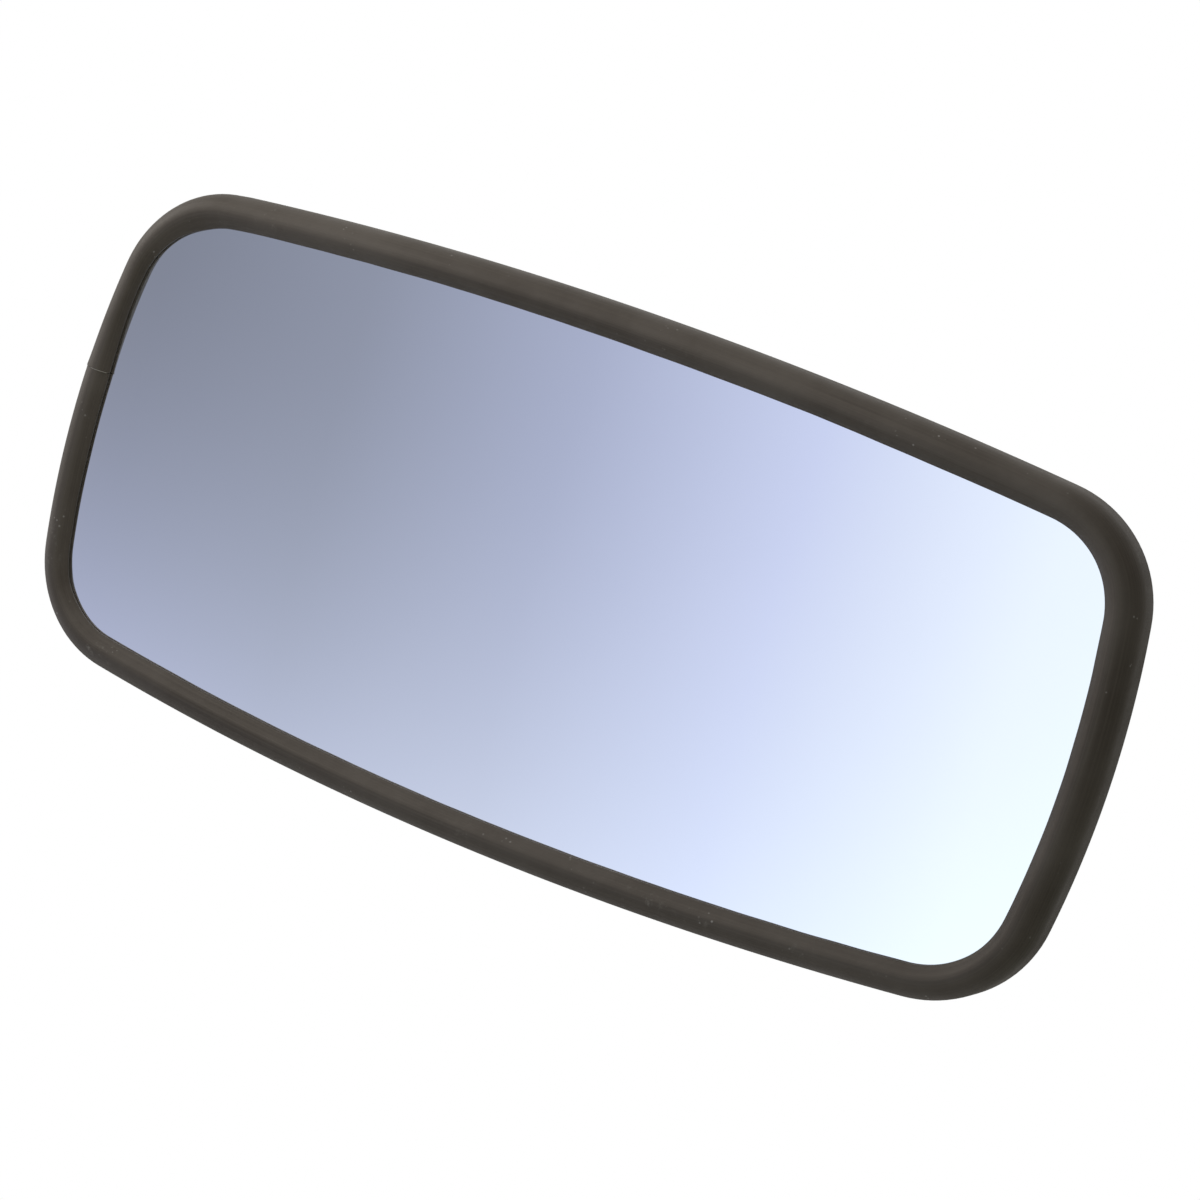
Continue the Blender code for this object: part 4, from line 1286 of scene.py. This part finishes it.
def build_world():
    """Soft studio light, and plain white to the camera itself.

    In front of the mirror it is a sweep from grey-blue to nearly white that brightens towards the
    floor and dims far up and far down.  Behind the mirror it is pale above and grey below, and
    darker towards +X.
    """
    world = bpy.data.worlds.new("studio")
    bpy.context.scene.world = world
    world.use_nodes = True
    world.node_tree.nodes.clear()
    studio = Nodes(world.node_tree)
    direction = studio.add("ShaderNodeTexCoord").outputs["Generated"]
    east, into_wall, up = studio.add("ShaderNodeSeparateXYZ", (("Vector", direction),)).outputs
    away = studio.math("MULTIPLY", into_wall, -1.0)
    azimuth = studio.math("DEGREES", studio.math("ARCTAN2", east, away))

    def ramp_of(table, divisor):
        """A colour read from a table of (degrees, colour) by the azimuth."""
        first = table[0][0]
        width = table[-1][0] - first
        share = studio.math("DIVIDE", studio.math("SUBTRACT", azimuth, first), width)
        ramp = studio.add("ShaderNodeValToRGB", (("Fac", share),))
        stops = ramp.color_ramp.elements
        for number, (angle, colour) in enumerate(table):
            place = (angle - first) / width
            stop = stops[number] if number < 2 else stops.new(place)
            stop.position = place
            stop.color = (*[value / divisor for value in colour], 1.0)
        return ramp.outputs["Color"]

    def scaled(colour, factor):
        inputs = ((0, colour), ("Scale", factor))
        return studio.add("ShaderNodeVectorMath", inputs, operation="SCALE").outputs["Vector"]

    down = studio.math("MAXIMUM", studio.math("MULTIPLY", up, -1.0), 0.0)
    squared = studio.math("MINIMUM", studio.math("MULTIPLY", down, down), GLOW_LIMIT)
    towards_floor = studio.math("MULTIPLY", squared, GLOW_SCALE)
    glow = scaled(ramp_of(GLOW, GLOW_SCALE * MIRROR_REFLECTANCE), towards_floor)
    lit = studio.mix(1.0, ramp_of(SWEEP, MIRROR_REFLECTANCE), glow, "ADD")
    strength = studio.math("MULTIPLY", studio.span(down, *DIM_DOWN), studio.span(up, *DIM_UP))
    front = scaled(lit, strength)
    behind = studio.mix(studio.span(up, *BEHIND_HEIGHT), BEHIND_BELOW, BEHIND_ABOVE)
    share_behind = studio.math("MULTIPLY", studio.span(into_wall, *BEHIND_RANGE),
                               studio.span(east, *BEHIND_EAST))
    whole = studio.mix(share_behind, front, behind)
    camera_ray = studio.add("ShaderNodeLightPath").outputs["Is Camera Ray"]
    background = studio.add("ShaderNodeBackground", (("Color", studio.mix(camera_ray, whole, WHITE)),))
    studio.add("ShaderNodeOutputWorld", (("Surface", background.outputs["Background"]),))


def build_floor():
    """A plain pale disc that fades out at its rim."""
    made = Shading("studio_floor", 0.7)
    made.colour(made.mix(made.noise(3.0, 3.0), (0.84, 0.84, 0.84), (0.87, 0.87, 0.87)))
    length = made.add("ShaderNodeVectorMath", ((0, made.place),), operation="LENGTH").outputs["Value"]
    fade = [FLOOR_RADIUS * share for share in FLOOR_FADE]
    made.feed(made.shader.inputs["Alpha"], made.span(length, *fade, 1.0, 0.0))
    rings = [circle(radius, 0, 96) for radius in (FLOOR_RADIUS, FLOOR_RADIUS * 0.5)]
    bm = skin(bmesh.new(), rings, caps=(False, True))
    floor = make_object("studio_floor", bm, [made.material])
    floor.location = (0, APEX_Y, FLOOR_HEIGHT)


def stand(name, data, place, target, lean=0.0):
    """A light or camera at a place, looking at a target, with a lean in degrees about its view."""
    thing = bpy.data.objects.new(name, data)
    bpy.context.scene.collection.objects.link(thing)
    thing.location = place
    thing.rotation_mode = "QUATERNION"
    turned = Quaternion((0, 0, 1), math.radians(lean))
    thing.rotation_quaternion = (target - thing.location).to_track_quat("-Z", "Y") @ turned
    return thing


def build_light(name, place, size, energy):
    """A square soft box that faces the mirror head."""
    lamp = bpy.data.lights.new(name, "AREA")
    lamp.shape = "SQUARE"
    lamp.size = size
    lamp.energy = energy
    stand(name, lamp, place, Vector((0, APEX_Y, 0)))


def build_camera():
    lens = bpy.data.cameras.new("camera")
    lens.lens = CAMERA_LENS
    lens.sensor_width = CAMERA_SENSOR
    azimuth = math.radians(CAMERA_AZIMUTH)
    elevation = math.radians(CAMERA_ELEVATION)
    level = math.cos(elevation)
    back = Vector((math.sin(azimuth) * level, -math.cos(azimuth) * level, math.sin(elevation)))
    place = Vector((0, APEX_Y, 0)) + back * CAMERA_DISTANCE
    bpy.context.scene.camera = stand("camera", lens, place, CAMERA_AIM, CAMERA_ROLL)


def main():
    bpy.context.scene.view_settings.view_transform = "Standard"
    build_camera()
    build_world()
    for soft_box in SOFT_BOXES:
        build_light(*soft_box)
    build_floor()
    build_glass()
    build_foam()
    build_strip()
    build_shell()
    build_stiffener()
    build_studs()
    build_yoke("head_bracket", "head_yoke", "head", HEAD_YOKE_THICKNESS, HEAD_YOKE_HALF_LENGTH,
               HEAD_YOKE_STANDOFF, Matrix.Translation((0, APEX_Y + SEAT_BACK, 0)) @ ALONG_X,
               stud_plugs(SEAT_BACK - OVERRUN, YOKE_BACK + OVERRUN))
    build_yoke("wall_bracket", "wall_yoke", "wall_side", WALL_YOKE_THICKNESS, WALL_YOKE_HALF_LENGTH,
               WALL_YOKE_STANDOFF, Matrix.Translation((0, -PLATE_THICKNESS - GAP, 0)) @ HEAD_TO_WALL)
    build_plate()
    build_welds()
    build_arm()
    build_bushes()
    pivot_set("pan", WALL_YOKE_THICKNESS, TO_PAN @ UPSIDE_DOWN, "wall_side", "pan_knob")
    pivot_set("tilt", HEAD_YOKE_THICKNESS, TO_TILT @ ALONG_X, "head", "tilt_knob")


main()
